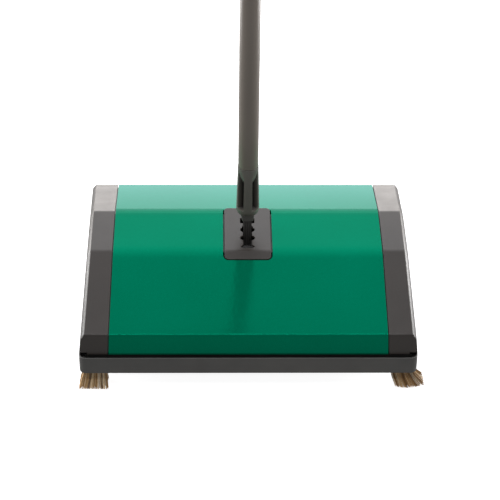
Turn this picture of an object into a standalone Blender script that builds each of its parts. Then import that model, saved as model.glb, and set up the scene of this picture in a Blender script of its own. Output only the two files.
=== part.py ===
"""Manual carpet sweeper: housing, brush roll, wheels, dirt pans and an upright stick handle.

Metres, +Z up, +Y to the rear. The origin is on the floor, under the middle of the housing.
"""

from math import acos, cos, hypot, pi, radians, sin, tan

import bmesh
import bpy
from mathutils import Vector

# Clearances: between two pieces, and how far a cutter reaches past what it cuts
GAP = 0.0003
CUT_MARGIN = 0.0050

# Casing: the side view that the cover, the end caps and the handle plate share
CASING_BASE_Z = 0.0370
CASING_HALF_LENGTH = 0.1225
LIP_HALF_LENGTH = 0.1190
LIP_Z = 0.0577
TOP_HALF_LENGTH = 0.03125
TOP_Z = 0.0889
LIP_RADIUS = 0.004
TOP_RADIUS = 0.012
CREASE_STEPS = 4

# Casing: widths, which shrink upwards with the mould's draft
COVER_HALF_WIDTH = 0.1305
COVER_DRAFT = radians(2.4)
SIDE_HALF_WIDTH = 0.1575
SIDE_DRAFT = radians(5.5)
SIDE_ROUNDING = 0.0035
COVER_THICKNESS = 0.0025
CAP_THICKNESS = 0.0030

# Bumper band and chassis
BUMPER_HALF_WIDTH = 0.1576
BUMPER_HALF_LENGTH = 0.1275
BUMPER_THICKNESS = 0.0052
BUMPER_LOW_Z = 0.0180
BUMPER_HIGH_Z = 0.0366
BUMPER_CORNER = 0.0060
BUMPER_TOP_BEVEL = 0.0016
BUMPER_LOW_BEVEL = 0.0012
CHASSIS_HALF_WIDTH = BUMPER_HALF_WIDTH - BUMPER_THICKNESS - GAP
CHASSIS_HALF_LENGTH = BUMPER_HALF_LENGTH - BUMPER_THICKNESS - GAP
CHASSIS_LOW_Z = BUMPER_LOW_Z
CHASSIS_HIGH_Z = 0.0364
INNER_WALL_X = 0.1260
INNER_WALL_THICKNESS = 0.0040
OUTER_WALL_X = 0.1480
OUTER_WALL_THICKNESS = CHASSIS_HALF_WIDTH - OUTER_WALL_X
PAN_BAY_HALF_LENGTH = 0.1160
WHEEL_BAY_HALF_LENGTH = 0.0670
WALL_HIGH_Z = 0.0440

# Wheels and brush roll: each tyre rubs on a drive drum at the end of the brush roll
TYRE_RADIUS = 0.0260
RIM_RADIUS = 0.0225
WHEEL_X = 0.1395
TYRE_HALF_WIDTH = 0.0060
HUB_HALF_WIDTH = 0.0052
HUB_BOSS_RADIUS = 0.0065
HUB_BOSS_HALF_WIDTH = 0.0080
HUB_WEB_HALF_WIDTH = 0.0016
HUB_RIM_DEPTH = 0.0030
TYRE_CROWN = 0.0012
WHEEL_AXLE_RADIUS = 0.0030
DRUM_RADIUS = 0.0120
DRUM_HALF_WIDTH = 0.0065
BRUSH_Z = 0.0285
BRUSH_RADIUS = 0.0275
BRUSH_HALF_LENGTH = 0.1180
BRUSH_ROWS = 4
BRUSH_SLEEVE_RADIUS = 0.0108
BRUSH_TWIST = pi
BRUSH_STATIONS = 16
BRISTLE_ROOT_HALF_ANGLE = radians(9)
BRISTLE_TIP_HALF_ANGLE = radians(6)
CORE_RADIUS = 0.0090
CORE_HALF_LENGTH = 0.1215
BRUSH_AXLE_RADIUS = 0.0025
BUSH_RADIUS = 0.0055
BUSH_FLANGE_RADIUS = 0.0080
BUSH_FLANGE_THICKNESS = 0.0009
BUSH_PROUD = 0.0010
WHEEL_Y = ((TYRE_RADIUS + DRUM_RADIUS + GAP) ** 2 - (BRUSH_Z - TYRE_RADIUS) ** 2) ** 0.5

# Dirt pans, described for the front one: the rear one is its mirror image
PAN_HALF_WIDTH = 0.1240
PAN_SKIN = 0.0018
PAN_FLOOR_Z = 0.0085
PAN_RIM_Z = 0.0340
PAN_OUTER_Y = 0.1040
PAN_LIP_Y = 0.0285
PAN_HEEL = 0.0055
PAN_RAMP = 0.0090
PAN_LIP_RISE = 0.0020
PAN_END_RISE = 0.0045
PAN_END_SLOPE = 0.0320
PAN_HINGE_Y = 0.1115
PAN_HINGE_Z = 0.0280
PAN_ROD_RADIUS = 0.0015
PAN_LUG_RADIUS = 0.0033
PAN_LUG_X = 0.1050
PAN_LUG_HALF_WIDTH = 0.0050
SPRING_RADIUS = 0.0028
SPRING_WIRE_RADIUS = 0.0005
SPRING_TURNS = 4
SPRING_PITCH = 0.0016
SPRING_LEG = 0.0045
SPRING_POINTS_PER_TURN = 8

# Corner brushes and their holders
CORNER_X = 0.1425
CORNER_HALF_WIDTH = 0.0120
CORNER_Y = 0.1155
CORNER_HALF_LENGTH = 0.0060
CORNER_ROUNDING = 0.0024
HOLDER_LOW_Z = 0.0150
TUFT_LOW_Z = 0.0010
TUFT_FLARE_X = 0.0060
TUFT_FLARE_Y = 0.0100
TUFT_CURL = 1.4
TUFT_STATIONS = 4

# Casing screws, driven up through the chassis into bosses in the end caps
SCREW_X = 0.1400
SCREW_Y = 0.0880
SCREW_RADIUS = 0.0016
SCREW_HEAD_RADIUS = 0.0034
SCREW_HIGH_Z = 0.0520
BOSS_RADIUS = 0.0036

# Handle plate and its slot
PLATE_HALF_WIDTH = 0.0222
PLATE_HALF_LENGTH = 0.0404
PLATE_CORNER = 0.0030
PLATE_RECESS = 0.0003
PLATE_THICKNESS = 0.0024
PLATE_SHADOW_GAP = 0.0011
SLOT_HALF_WIDTH = 0.0042
SLOT_HALF_LENGTH = 0.0270
NOTCH_DEPTH = 0.0027
NOTCH_HALF_LENGTH = 0.0025
NOTCH_PITCH = 0.0137
NOTCH_FIRST_Y = -0.0250
NOTCH_COUNT = 4
NOTCH_STEPS = 4

# Handle bracket and pivot
PIVOT_Z = 0.0680
PIN_RADIUS = 0.0030
PIN_HALF_LENGTH = 0.0140
CHEEK_INNER_X = 0.0075
CHEEK_OUTER_X = 0.0110
CHEEK_HALF_LENGTH = 0.0240
CHEEK_LOW_Z = 0.0590
FLANGE_HALF_WIDTH = 0.0270
FLANGE_HALF_LENGTH = 0.0300
FLANGE_THICKNESS = 0.0035
DETENT_HALF_WIDTH = 0.0070
DETENT_THICKNESS = 0.0006
DETENT_BOW = 0.0016
DETENT_STEPS = 8

# Handle
SHANK_HALF_WIDTH = 0.0038
SHANK_HALF_DEPTH = 0.0045
SHANK_RIBS = 4
SHANK_GROOVE = 0.0009
NECK_LOW_Z = 0.1026
HUB_RADIUS = 0.0070
HUB_HALF_LENGTH = 0.0066
YOKE_HIGH_Z = 0.1380
SOCKET_LOW_Z = 0.1146
TANG_HALF_WIDTH = 0.0030
SOCKET_HIGH_Z = 0.1660
SOCKET_FOOT_RADIUS = 0.0062
SOCKET_RADIUS = 0.0110
SOCKET_TOP_RADIUS = 0.0098
SOCKET_ROUNDING = 0.0060
FLUTE_LOW_Z = 0.1231
FLUTE_FULL_Z = 0.1246
FLUTE_FADE_Z = 0.1490
FLUTE_HIGH_Z = 0.1630
FLUTE_FLOOR_RADIUS = 0.0062
FLUTE_START = radians(24)
FLUTE_END = radians(55)
FLUTE_FLANK = radians(3)
TUBE_RADIUS = 0.0095
TUBE_WALL = 0.0010
TUBE_LOW_Z = SOCKET_HIGH_Z + GAP
TUBE_LENGTH = 0.2819
SPIGOT_LENGTH = 0.0280
TUBE_COUNT = 3
GRIP_LENGTH = 0.1250
GRIP_RADIUS = 0.0125
GRIP_WAIST_RADIUS = 0.0113
GRIP_HEAD_RADIUS = 0.0133
GRIP_BORE_DEPTH = 0.0300
HANG_HOLE_DROP = 0.0170
HANG_HOLE_RADIUS = 0.0045

# Facets
ROUND_STEPS = 20
TYRE_STEPS = 32
SMALL_STEPS = 12
COLLAR_STEPS = 4

FRONT = -1
REAR = 1
LEFT = -1
RIGHT = 1
CORNERS = {
    "front_left": (LEFT, FRONT),
    "front_right": (RIGHT, FRONT),
    "rear_left": (LEFT, REAR),
    "rear_right": (RIGHT, REAR),
}

MATERIALS = {
    "green_gloss": ((0.000, 0.200, 0.135), 0.18, 0.0),
    "dark_plastic": ((0.060, 0.055, 0.050), 0.35, 0.0),
    "bumper_rubber": ((0.040, 0.040, 0.038), 0.60, 0.0),
    "chassis_black": ((0.020, 0.020, 0.020), 0.45, 0.0),
    "steel": ((0.550, 0.550, 0.540), 0.30, 1.0),
    "tube_paint": ((0.045, 0.040, 0.036), 0.35, 0.0),
    "tyre_rubber": ((0.025, 0.025, 0.025), 0.80, 0.0),
    "hub_grey": ((0.150, 0.150, 0.150), 0.45, 0.0),
    "core_wood": ((0.350, 0.230, 0.130), 0.60, 0.0),
    "bristle": ((0.120, 0.080, 0.045), 0.90, 0.0),
}


def clear_scene():
    for item in list(bpy.data.objects):
        bpy.data.objects.remove(item, do_unlink=True)


def material(name):
    """The named Principled material, made on its first use."""
    found = bpy.data.materials.get(name)
    if found:
        return found
    colour, roughness, metallic = MATERIALS[name]
    made = bpy.data.materials.new(name)
    made.use_nodes = True
    shader = made.node_tree.nodes["Principled BSDF"]
    shader.inputs["Base Color"].default_value = (*colour, 1.0)
    shader.inputs["Roughness"].default_value = roughness
    shader.inputs["Metallic"].default_value = metallic
    return made


def finish_object(name, mesh_builder, slot=None, parent=None):
    """Turn a bmesh in world coordinates into an object, under an empty if one is given."""
    bmesh.ops.recalc_face_normals(mesh_builder, faces=mesh_builder.faces)
    mesh = bpy.data.meshes.new(name)
    mesh_builder.to_mesh(mesh)
    mesh_builder.free()
    made = bpy.data.objects.new(name, mesh)
    bpy.context.collection.objects.link(made)
    if slot:
        mesh.materials.append(material(slot))
        mesh.shade_smooth()
        mesh.set_sharp_from_angle(angle=radians(30))
    if parent:
        made.parent = parent
        made.location = -parent.location
    return made


def joint_axis(name, location):
    """An empty on a joint's axis, which carries the pieces that move on it."""
    made = bpy.data.objects.new(name, None)
    made.location = Vector(location)
    bpy.context.collection.objects.link(made)
    return made


def combine(target, tool, operation):
    """Add a Boolean, and keep the tool as a guide that isn't part of the object."""
    tool.hide_render = True
    tool.display_type = "WIRE"
    modifier = target.modifiers.new(tool.name, "BOOLEAN")
    modifier.operation = operation
    modifier.solver = "EXACT"
    modifier.object = tool


# Outlines

def rounded_outline(corners, radii, steps):
    """An open outline through the corners, with an arc of each radius at the inner ones."""
    points = [Vector(corners[0])]
    for before, corner, after, radius in zip(corners, corners[1:], corners[2:], radii):
        corner = Vector(corner)
        inward = (Vector(before) - corner).normalized()
        onward = (Vector(after) - corner).normalized()
        half_angle = acos(max(-1.0, min(1.0, inward.dot(onward)))) / 2
        reach = radius / tan(half_angle)
        centre = corner + (inward + onward).normalized() * radius / sin(half_angle)
        start = corner + inward * reach - centre
        turn = start.angle_signed(corner + onward * reach - centre)
        for step in range(steps + 1):
            angle = -turn * step / steps
            points.append(centre + Vector((
                start.x * cos(angle) - start.y * sin(angle),
                start.x * sin(angle) + start.y * cos(angle),
            )))
    points.append(Vector(corners[-1]))
    return points


def casing_corners():
    half = [
        (CASING_HALF_LENGTH, CASING_BASE_Z),
        (LIP_HALF_LENGTH, LIP_Z),
        (TOP_HALF_LENGTH, TOP_Z),
    ]
    return [Vector((-y, z)) for y, z in half] + [Vector((y, z)) for y, z in reversed(half)]


def casing_outline(inset=0.0, base_z=CASING_BASE_Z):
    """The casing's side view from its front base over the top to its rear base, as (y, z)."""
    corners = casing_corners()
    edges = []
    for start, end in zip(corners, corners[1:]):
        along = (end - start).normalized()
        edges.append((start + Vector((along.y, -along.x)) * inset, along))
    moved = [at_height(edges[0], base_z)]
    for first, second in zip(edges, edges[1:]):
        moved.append(crossing(first, second))
    moved.append(at_height(edges[-1], base_z))
    radii = [max(r - inset, GAP) for r in (LIP_RADIUS, TOP_RADIUS, TOP_RADIUS, LIP_RADIUS)]
    return rounded_outline(moved, radii, CREASE_STEPS)


def at_height(edge, z):
    start, along = edge
    return start + along * ((z - start.y) / along.y)


def crossing(first, second):
    (a, u), (b, v) = first, second
    offset = b - a
    return a + u * ((offset.x * v.y - offset.y * v.x) / (u.x * v.y - u.y * v.x))


def casing_height(y, inset=0.0):
    """Height of the casing's slope at a distance y from the middle."""
    slope = (TOP_Z - LIP_Z) / (LIP_HALF_LENGTH - TOP_HALF_LENGTH)
    return TOP_Z - (abs(y) - TOP_HALF_LENGTH) * slope - inset * hypot(1, slope)


def cover_edge(z):
    return COVER_HALF_WIDTH - (z - CASING_BASE_Z) * tan(COVER_DRAFT)


def side_edge(z):
    return SIDE_HALF_WIDTH - (z - CASING_BASE_Z) * tan(SIDE_DRAFT)


def rounded_rectangle(half_x, half_y, radius, steps=4):
    """A closed plan outline, anticlockwise, as (x, y)."""
    points = []
    for quarter, (sx, sy) in enumerate(((1, 1), (-1, 1), (-1, -1), (1, -1))):
        for step in range(steps + 1):
            angle = (quarter + step / steps) * pi / 2
            points.append(Vector((
                sx * (half_x - radius) + radius * cos(angle),
                sy * (half_y - radius) + radius * sin(angle),
            )))
    return points


def circle(radius, steps, centre=(0.0, 0.0)):
    return [
        Vector((centre[0] + radius * cos(2 * pi * i / steps), centre[1] + radius * sin(2 * pi * i / steps)))
        for i in range(steps)
    ]


# Solids

def loft(loops):
    """A closed solid through loops of equally many points, with a flat face on each end."""
    builder = bmesh.new()
    rings = [[builder.verts.new(point) for point in loop] for loop in loops]
    for ring, following in zip(rings, rings[1:]):
        bridge(builder, ring, following)
    builder.faces.new(rings[0])
    builder.faces.new(rings[-1])
    return builder


def ring_loft(loops, shift=0):
    """A closed solid whose last loop joins back to its first, as a ring or a sleeve does."""
    builder = bmesh.new()
    rings = [[builder.verts.new(point) for point in loop] for loop in loops]
    for ring, following in zip(rings, rings[1:]):
        bridge(builder, ring, following)
    first = rings[0][shift:] + rings[0][:shift]
    bridge(builder, rings[-1], first)
    return builder


def bridge(builder, ring, following):
    for i in range(len(ring)):
        j = (i + 1) % len(ring)
        builder.faces.new((ring[i], ring[j], following[j], following[i]))


def along_x(outline, x):
    return [Vector((x(z) if callable(x) else x, y, z)) for y, z in outline]


def along_z(outline, z):
    return [Vector((x, y, z)) for x, y in outline]


def block(low, high):
    """A box between two corners."""
    plan = [(low[0], low[1]), (high[0], low[1]), (high[0], high[1]), (low[0], high[1])]
    return loft([along_z(plan, low[2]), along_z(plan, high[2])])


def turned_about_x(profile, centre, steps, hollow):
    """A turned piece about an axis along X: the profile is a list of (radius, x)."""
    loops = []
    for radius, x in profile:
        loops.append([Vector((x, y, z)) for y, z in circle(radius, steps, centre)])
    return ring_loft(loops) if hollow else loft(loops)


def turned_about_z(profile, steps, hollow):
    """A turned piece about the handle's axis: the profile is a list of (radius, z)."""
    loops = [along_z(circle(radius, steps), z) for radius, z in profile]
    return ring_loft(loops) if hollow else loft(loops)


def bored_disc(name, slot, centre, x, half_width, radius, bore, steps, parent=None):
    profile = [
        (bore, x - half_width),
        (radius, x - half_width),
        (radius, x + half_width),
        (bore, x + half_width),
    ]
    return finish_object(name, turned_about_x(profile, centre, steps, True), slot, parent)


def rod_along_x(name, slot, centre, low_x, high_x, radius, parent=None):
    """A plain rod with chamfered ends."""
    chamfer = radius * 0.25
    profile = [
        (radius - chamfer, low_x),
        (radius, low_x + chamfer),
        (radius, high_x - chamfer),
        (radius - chamfer, high_x),
    ]
    return finish_object(name, turned_about_x(profile, centre, SMALL_STEPS, False), slot, parent)


def cutter_along_x(name, centre, low_x, high_x, radius):
    profile = [(radius, low_x), (radius, high_x)]
    return finish_object(name, turned_about_x(profile, centre, SMALL_STEPS, False))


def wire(name, slot, points, radius, parent=None):
    """A bent wire of round section, with closed ends."""
    curve = bpy.data.curves.new(name, "CURVE")
    curve.dimensions = "3D"
    curve.bevel_depth = radius
    curve.bevel_resolution = 1
    curve.render_resolution_u = 0
    curve.use_fill_caps = True
    spline = curve.splines.new("POLY")
    spline.points.add(len(points) - 1)
    for target, point in zip(spline.points, points):
        target.co = (*point, 1.0)
    curve.materials.append(material(slot))
    made = bpy.data.objects.new(name, curve)
    bpy.context.collection.objects.link(made)
    if parent:
        made.parent = parent
        made.location = -parent.location
    return made


# Casing

def make_top_cover():
    outer = casing_outline()
    inner = casing_outline(COVER_THICKNESS)
    arch = outer + inner[::-1]
    cover = finish_object("top_cover", loft([
        along_x(arch, lambda z: GAP / 2 - cover_edge(z)),
        along_x(arch, lambda z: cover_edge(z) - GAP / 2),
    ]), "green_gloss")
    opening = rounded_rectangle(
        PLATE_HALF_WIDTH + PLATE_SHADOW_GAP,
        PLATE_HALF_LENGTH + PLATE_SHADOW_GAP,
        PLATE_CORNER + PLATE_SHADOW_GAP,
    )
    tool = finish_object("cut_plate_opening", loft([
        along_z(opening, LIP_Z), along_z(opening, TOP_Z + LIP_Z),
    ]))
    combine(cover, tool, "DIFFERENCE")


def make_end_cap(name, side):
    loops = [along_x(casing_outline(), lambda z: side * (cover_edge(z) + GAP / 2))]
    steps = 3
    for step in range(steps + 1):
        angle = step / steps * pi / 2
        inset = SIDE_ROUNDING * (1 - cos(angle))
        back = SIDE_ROUNDING * (1 - sin(angle))
        loops.append(along_x(casing_outline(inset), lambda z, back=back: side * (side_edge(z) - back)))
    cap = finish_object(name, loft(loops), "dark_plastic")
    room = casing_outline(CAP_THICKNESS, CASING_BASE_Z - CAP_THICKNESS)
    hollow = finish_object("cut_" + name, loft([
        along_x(room, side * (COVER_HALF_WIDTH - 2 * SIDE_ROUNDING)),
        along_x(room, lambda z: side * (side_edge(z) - CAP_THICKNESS)),
    ]))
    combine(cap, hollow, "DIFFERENCE")
    boss_top = casing_height(SCREW_Y + BOSS_RADIUS) - GAP
    for end in (FRONT, REAR):
        centre = (side * SCREW_X, end * SCREW_Y)
        boss = circle(BOSS_RADIUS, SMALL_STEPS, centre)
        post = finish_object(name + "_boss", loft([along_z(boss, CASING_BASE_Z), along_z(boss, boss_top)]))
        combine(cap, post, "UNION")
        bore = circle(SCREW_RADIUS + GAP, SMALL_STEPS, centre)
        tool = finish_object("cut_" + name + "_bore", loft([
            along_z(bore, CASING_BASE_Z - CAP_THICKNESS),
            along_z(bore, SCREW_HIGH_Z + CAP_THICKNESS),
        ]))
        combine(cap, tool, "DIFFERENCE")


def make_bumper():
    """A moulded band: its cross-section runs round the base, narrowed at each point by an inset."""
    section = [
        (BUMPER_LOW_BEVEL, BUMPER_LOW_Z),
        (BUMPER_LOW_BEVEL / 3, BUMPER_LOW_Z + BUMPER_LOW_BEVEL / 3),
        (0.0, BUMPER_LOW_Z + BUMPER_LOW_BEVEL),
        (0.0, BUMPER_HIGH_Z - BUMPER_TOP_BEVEL),
        (BUMPER_TOP_BEVEL, BUMPER_HIGH_Z),
        (BUMPER_THICKNESS, BUMPER_HIGH_Z),
        (BUMPER_THICKNESS, BUMPER_LOW_Z),
    ]
    loops = []
    for inset, z in section:
        plan = rounded_rectangle(
            BUMPER_HALF_WIDTH - inset, BUMPER_HALF_LENGTH - inset, BUMPER_CORNER - inset
        )
        loops.append(along_z(plan, z))
    finish_object("bumper_band", ring_loft(loops), "bumper_rubber")


def make_chassis():
    corner = BUMPER_CORNER - BUMPER_THICKNESS - GAP
    plan = rounded_rectangle(CHASSIS_HALF_WIDTH, CHASSIS_HALF_LENGTH, corner)
    chassis = finish_object("chassis_frame", loft([
        along_z(plan, CHASSIS_LOW_Z), along_z(plan, CHASSIS_HIGH_Z),
    ]), "chassis_black")
    walls = ((INNER_WALL_X, INNER_WALL_THICKNESS), (OUTER_WALL_X, OUTER_WALL_THICKNESS))
    for side in (LEFT, RIGHT):
        for x, thickness in walls:
            low, high = sorted((side * x, side * (x + thickness)))
            wall = block(
                (low, -WHEEL_BAY_HALF_LENGTH, CHASSIS_LOW_Z + GAP),
                (high, WHEEL_BAY_HALF_LENGTH, WALL_HIGH_Z),
            )
            combine(chassis, finish_object("chassis_wall", wall), "UNION")
    cut_bay(chassis, -INNER_WALL_X, INNER_WALL_X, PAN_BAY_HALF_LENGTH)
    for side in (LEFT, RIGHT):
        low, high = sorted((side * (INNER_WALL_X + INNER_WALL_THICKNESS), side * OUTER_WALL_X))
        cut_bay(chassis, low, high, WHEEL_BAY_HALF_LENGTH)
        cut_seat(chassis, side, INNER_WALL_THICKNESS, (0.0, BRUSH_Z), BUSH_RADIUS)
        for end in (FRONT, REAR):
            axle = (end * WHEEL_Y, TYRE_RADIUS)
            cut_seat(chassis, side, CHASSIS_HALF_WIDTH - INNER_WALL_X, axle, WHEEL_AXLE_RADIUS)
            rod = (end * PAN_HINGE_Y, PAN_HINGE_Z)
            cut_seat(chassis, side, INNER_WALL_THICKNESS, rod, PAN_ROD_RADIUS)
            cut_screw_seat(chassis, side, end)


def cut_bay(chassis, low_x, high_x, half_length):
    """Open the chassis right through from below, between two walls."""
    bay = block(
        (low_x, -half_length, CHASSIS_LOW_Z - CUT_MARGIN),
        (high_x, half_length, WALL_HIGH_Z + CUT_MARGIN),
    )
    combine(chassis, finish_object("cut_bay", bay), "DIFFERENCE")


def cut_seat(chassis, side, depth, centre, radius):
    """A round seat along X that starts at the inner wall's inner face."""
    low, high = sorted((side * (INNER_WALL_X - GAP), side * (INNER_WALL_X + depth + GAP)))
    seat = cutter_along_x("cut_seat", centre, low, high, radius + GAP)
    combine(chassis, seat, "DIFFERENCE")


def cut_screw_seat(chassis, side, end):
    centre = (side * SCREW_X, end * SCREW_Y)
    low = CHASSIS_LOW_Z - CUT_MARGIN
    for radius, high in (
        (SCREW_RADIUS + GAP, WALL_HIGH_Z),
        (SCREW_HEAD_RADIUS + GAP, CHASSIS_LOW_Z + SCREW_HEAD_RADIUS),
    ):
        hole = circle(radius, SMALL_STEPS, centre)
        tool = finish_object("cut_screw_seat", loft([along_z(hole, low), along_z(hole, high)]))
        combine(chassis, tool, "DIFFERENCE")


def make_screws():
    head_top = CHASSIS_LOW_Z + SCREW_HEAD_RADIUS - GAP
    for corner, (side, end) in CORNERS.items():
        centre = (side * SCREW_X, end * SCREW_Y)
        profile = [
            (SCREW_HEAD_RADIUS * 0.8, CHASSIS_LOW_Z + GAP),
            (SCREW_HEAD_RADIUS, CHASSIS_LOW_Z + 3 * GAP),
            (SCREW_HEAD_RADIUS, head_top),
            (SCREW_RADIUS, head_top),
            (SCREW_RADIUS, SCREW_HIGH_Z - SCREW_RADIUS),
            (SCREW_RADIUS / 3, SCREW_HIGH_Z),
        ]
        loops = [along_z(circle(radius, SMALL_STEPS, centre), z) for radius, z in profile]
        finish_object("casing_screw_" + corner, loft(loops), "steel")


def make_corner_brushes():
    for corner, (side, end) in CORNERS.items():
        x = side * CORNER_X
        y = end * CORNER_Y
        holder = block(
            (x - CORNER_HALF_WIDTH, y - CORNER_HALF_LENGTH, HOLDER_LOW_Z),
            (x + CORNER_HALF_WIDTH, y + CORNER_HALF_LENGTH, CHASSIS_LOW_Z - GAP),
        )
        finish_object("corner_brush_holder_" + corner, holder, "chassis_black")
        finish_object("corner_brush_" + corner, tuft(x, y, side, end), "bristle")


def tuft(x, y, side, end):
    """A bundle of bristles that spreads outwards, and not inwards, on its way down."""
    high = HOLDER_LOW_Z - GAP
    loops = []
    for station in range(TUFT_STATIONS + 1):
        t = station / TUFT_STATIONS
        spread = t ** TUFT_CURL / 2
        plan = rounded_rectangle(
            CORNER_HALF_WIDTH + TUFT_FLARE_X * spread,
            CORNER_HALF_LENGTH + TUFT_FLARE_Y * spread,
            CORNER_ROUNDING,
            2,
        )
        centre = Vector((x + side * TUFT_FLARE_X * spread, y + end * TUFT_FLARE_Y * spread))
        loops.append(along_z([p + centre for p in plan], high + (TUFT_LOW_Z - high) * t))
    return loft(loops)


# Handle plate, bracket and pivot

def slot_outline():
    """Half the slot's edge from front to rear, with its notches, mirrored to close it."""
    edge = [Vector((SLOT_HALF_WIDTH, -SLOT_HALF_LENGTH))]
    for i in range(NOTCH_COUNT):
        y = NOTCH_FIRST_Y + i * NOTCH_PITCH
        for step in range(NOTCH_STEPS + 1):
            angle = pi * step / NOTCH_STEPS
            reach = SLOT_HALF_WIDTH + NOTCH_DEPTH * sin(angle)
            edge.append(Vector((reach, max(y - NOTCH_HALF_LENGTH * cos(angle), -SLOT_HALF_LENGTH))))
    edge.append(Vector((SLOT_HALF_WIDTH, SLOT_HALF_LENGTH)))
    edge = [p for i, p in enumerate(edge) if i == 0 or (p - edge[i - 1]).length > GAP]
    return edge + [Vector((-p.x, p.y)) for p in reversed(edge)]


def plate_strip(inset):
    """The stretch of the casing's side view that the handle plate covers."""
    reach = PLATE_HALF_LENGTH + CUT_MARGIN
    middle = [p for p in casing_outline(inset) if abs(p.x) < reach]
    end_z = casing_height(reach, inset)
    return [Vector((-reach, end_z))] + middle + [Vector((reach, end_z))]


def make_handle_plate():
    strip = plate_strip(PLATE_RECESS) + plate_strip(PLATE_RECESS + PLATE_THICKNESS)[::-1]
    reach = PLATE_HALF_WIDTH + CUT_MARGIN
    blank = loft([along_x(strip, -reach), along_x(strip, reach)])
    plate = finish_object("handle_plate", blank, "dark_plastic")
    plan = rounded_rectangle(PLATE_HALF_WIDTH, PLATE_HALF_LENGTH, PLATE_CORNER)
    tool = finish_object("plate_plan", loft([along_z(plan, LIP_Z), along_z(plan, TOP_Z + LIP_Z)]))
    combine(plate, tool, "INTERSECT")
    slot = slot_outline()
    tool = finish_object("cut_slot", loft([along_z(slot, LIP_Z), along_z(slot, TOP_Z + LIP_Z)]))
    combine(plate, tool, "DIFFERENCE")


def make_handle_bracket():
    top = TOP_Z - PLATE_RECESS - PLATE_THICKNESS - GAP
    flange = block(
        (-FLANGE_HALF_WIDTH, -FLANGE_HALF_LENGTH, top - FLANGE_THICKNESS),
        (FLANGE_HALF_WIDTH, FLANGE_HALF_LENGTH, top),
    )
    bracket = finish_object("handle_bracket", flange, "chassis_black")
    for side in (LEFT, RIGHT):
        low, high = sorted((side * CHEEK_INNER_X, side * CHEEK_OUTER_X))
        cheek = block((low, -CHEEK_HALF_LENGTH, CHEEK_LOW_Z), (high, CHEEK_HALF_LENGTH, top - GAP))
        combine(bracket, finish_object("bracket_cheek", cheek), "UNION")
    slot = block(
        (-CHEEK_INNER_X, -SLOT_HALF_LENGTH - GAP, CHEEK_LOW_Z),
        (CHEEK_INNER_X, SLOT_HALF_LENGTH + GAP, TOP_Z),
    )
    combine(bracket, finish_object("cut_bracket_slot", slot), "DIFFERENCE")
    bore = cutter_along_x(
        "cut_pin_bore", (0.0, PIVOT_Z), -FLANGE_HALF_WIDTH, FLANGE_HALF_WIDTH, PIN_RADIUS + GAP
    )
    combine(bracket, bore, "DIFFERENCE")
    rod_along_x("handle_pin", "steel", (0.0, PIVOT_Z), -PIN_HALF_LENGTH, PIN_HALF_LENGTH, PIN_RADIUS)


def make_detent_spring():
    """A leaf spring that bows up against the underside of the handle's hub."""
    top = PIVOT_Z - HUB_RADIUS - GAP - DETENT_THICKNESS
    upper = []
    for step in range(DETENT_STEPS + 1):
        share = 2 * step / DETENT_STEPS - 1
        upper.append(Vector((CHEEK_HALF_LENGTH * share, top - DETENT_BOW * share ** 2)))
    lower = [p - Vector((0.0, DETENT_THICKNESS)) for p in reversed(upper)]
    leaf = loft([along_x(upper + lower, -DETENT_HALF_WIDTH), along_x(upper + lower, DETENT_HALF_WIDTH)])
    finish_object("detent_spring", leaf, "steel")


# Brush roll and wheels

def make_brush_roll():
    axis = joint_axis("brush_roll_axis", (0.0, 0.0, BRUSH_Z))
    centre = (0.0, BRUSH_Z)
    axle_end = WHEEL_X + DRUM_HALF_WIDTH
    rod_along_x("brush_axle", "steel", centre, -axle_end, axle_end, BRUSH_AXLE_RADIUS, axis)
    bored_disc(
        "brush_core", "core_wood", centre, 0.0, CORE_HALF_LENGTH, CORE_RADIUS,
        BRUSH_AXLE_RADIUS + GAP, SMALL_STEPS, axis,
    )
    for name, side in (("left", LEFT), ("right", RIGHT)):
        bored_disc(
            "drive_drum_" + name, "tyre_rubber", centre, side * WHEEL_X, DRUM_HALF_WIDTH, DRUM_RADIUS,
            BRUSH_AXLE_RADIUS + GAP, ROUND_STEPS, axis,
        )
        make_brush_bush(name, side)
    make_bristles(axis)


def make_brush_bush(name, side):
    """A flanged bush for the brush axle in the chassis's inner wall."""
    face = INNER_WALL_X - GAP
    inner = face - BUSH_FLANGE_THICKNESS
    outer = INNER_WALL_X + INNER_WALL_THICKNESS + BUSH_PROUD
    bore = BRUSH_AXLE_RADIUS + GAP
    profile = [
        (bore, side * inner),
        (BUSH_FLANGE_RADIUS, side * inner),
        (BUSH_FLANGE_RADIUS, side * face),
        (BUSH_RADIUS, side * face),
        (BUSH_RADIUS, side * outer),
        (bore, side * outer),
    ]
    made = turned_about_x(profile, (0.0, BRUSH_Z), SMALL_STEPS, True)
    finish_object("brush_bush_" + name, made, "hub_grey")


def bristle_section():
    """Polar points of the bristle body's cross-section: a sleeve with rows of bristles."""
    root_half = BRISTLE_ROOT_HALF_ANGLE
    tip_half = BRISTLE_TIP_HALF_ANGLE
    points = []
    for row in range(BRUSH_ROWS):
        middle = 2 * pi * row / BRUSH_ROWS
        valley = middle + pi / BRUSH_ROWS
        points += [
            (BRUSH_SLEEVE_RADIUS, middle - root_half),
            (BRUSH_RADIUS, middle - tip_half),
            (BRUSH_RADIUS, middle + tip_half),
            (BRUSH_SLEEVE_RADIUS, middle + root_half),
            (BRUSH_SLEEVE_RADIUS, valley - root_half),
            (BRUSH_SLEEVE_RADIUS, valley + root_half),
        ]
    return points


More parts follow.
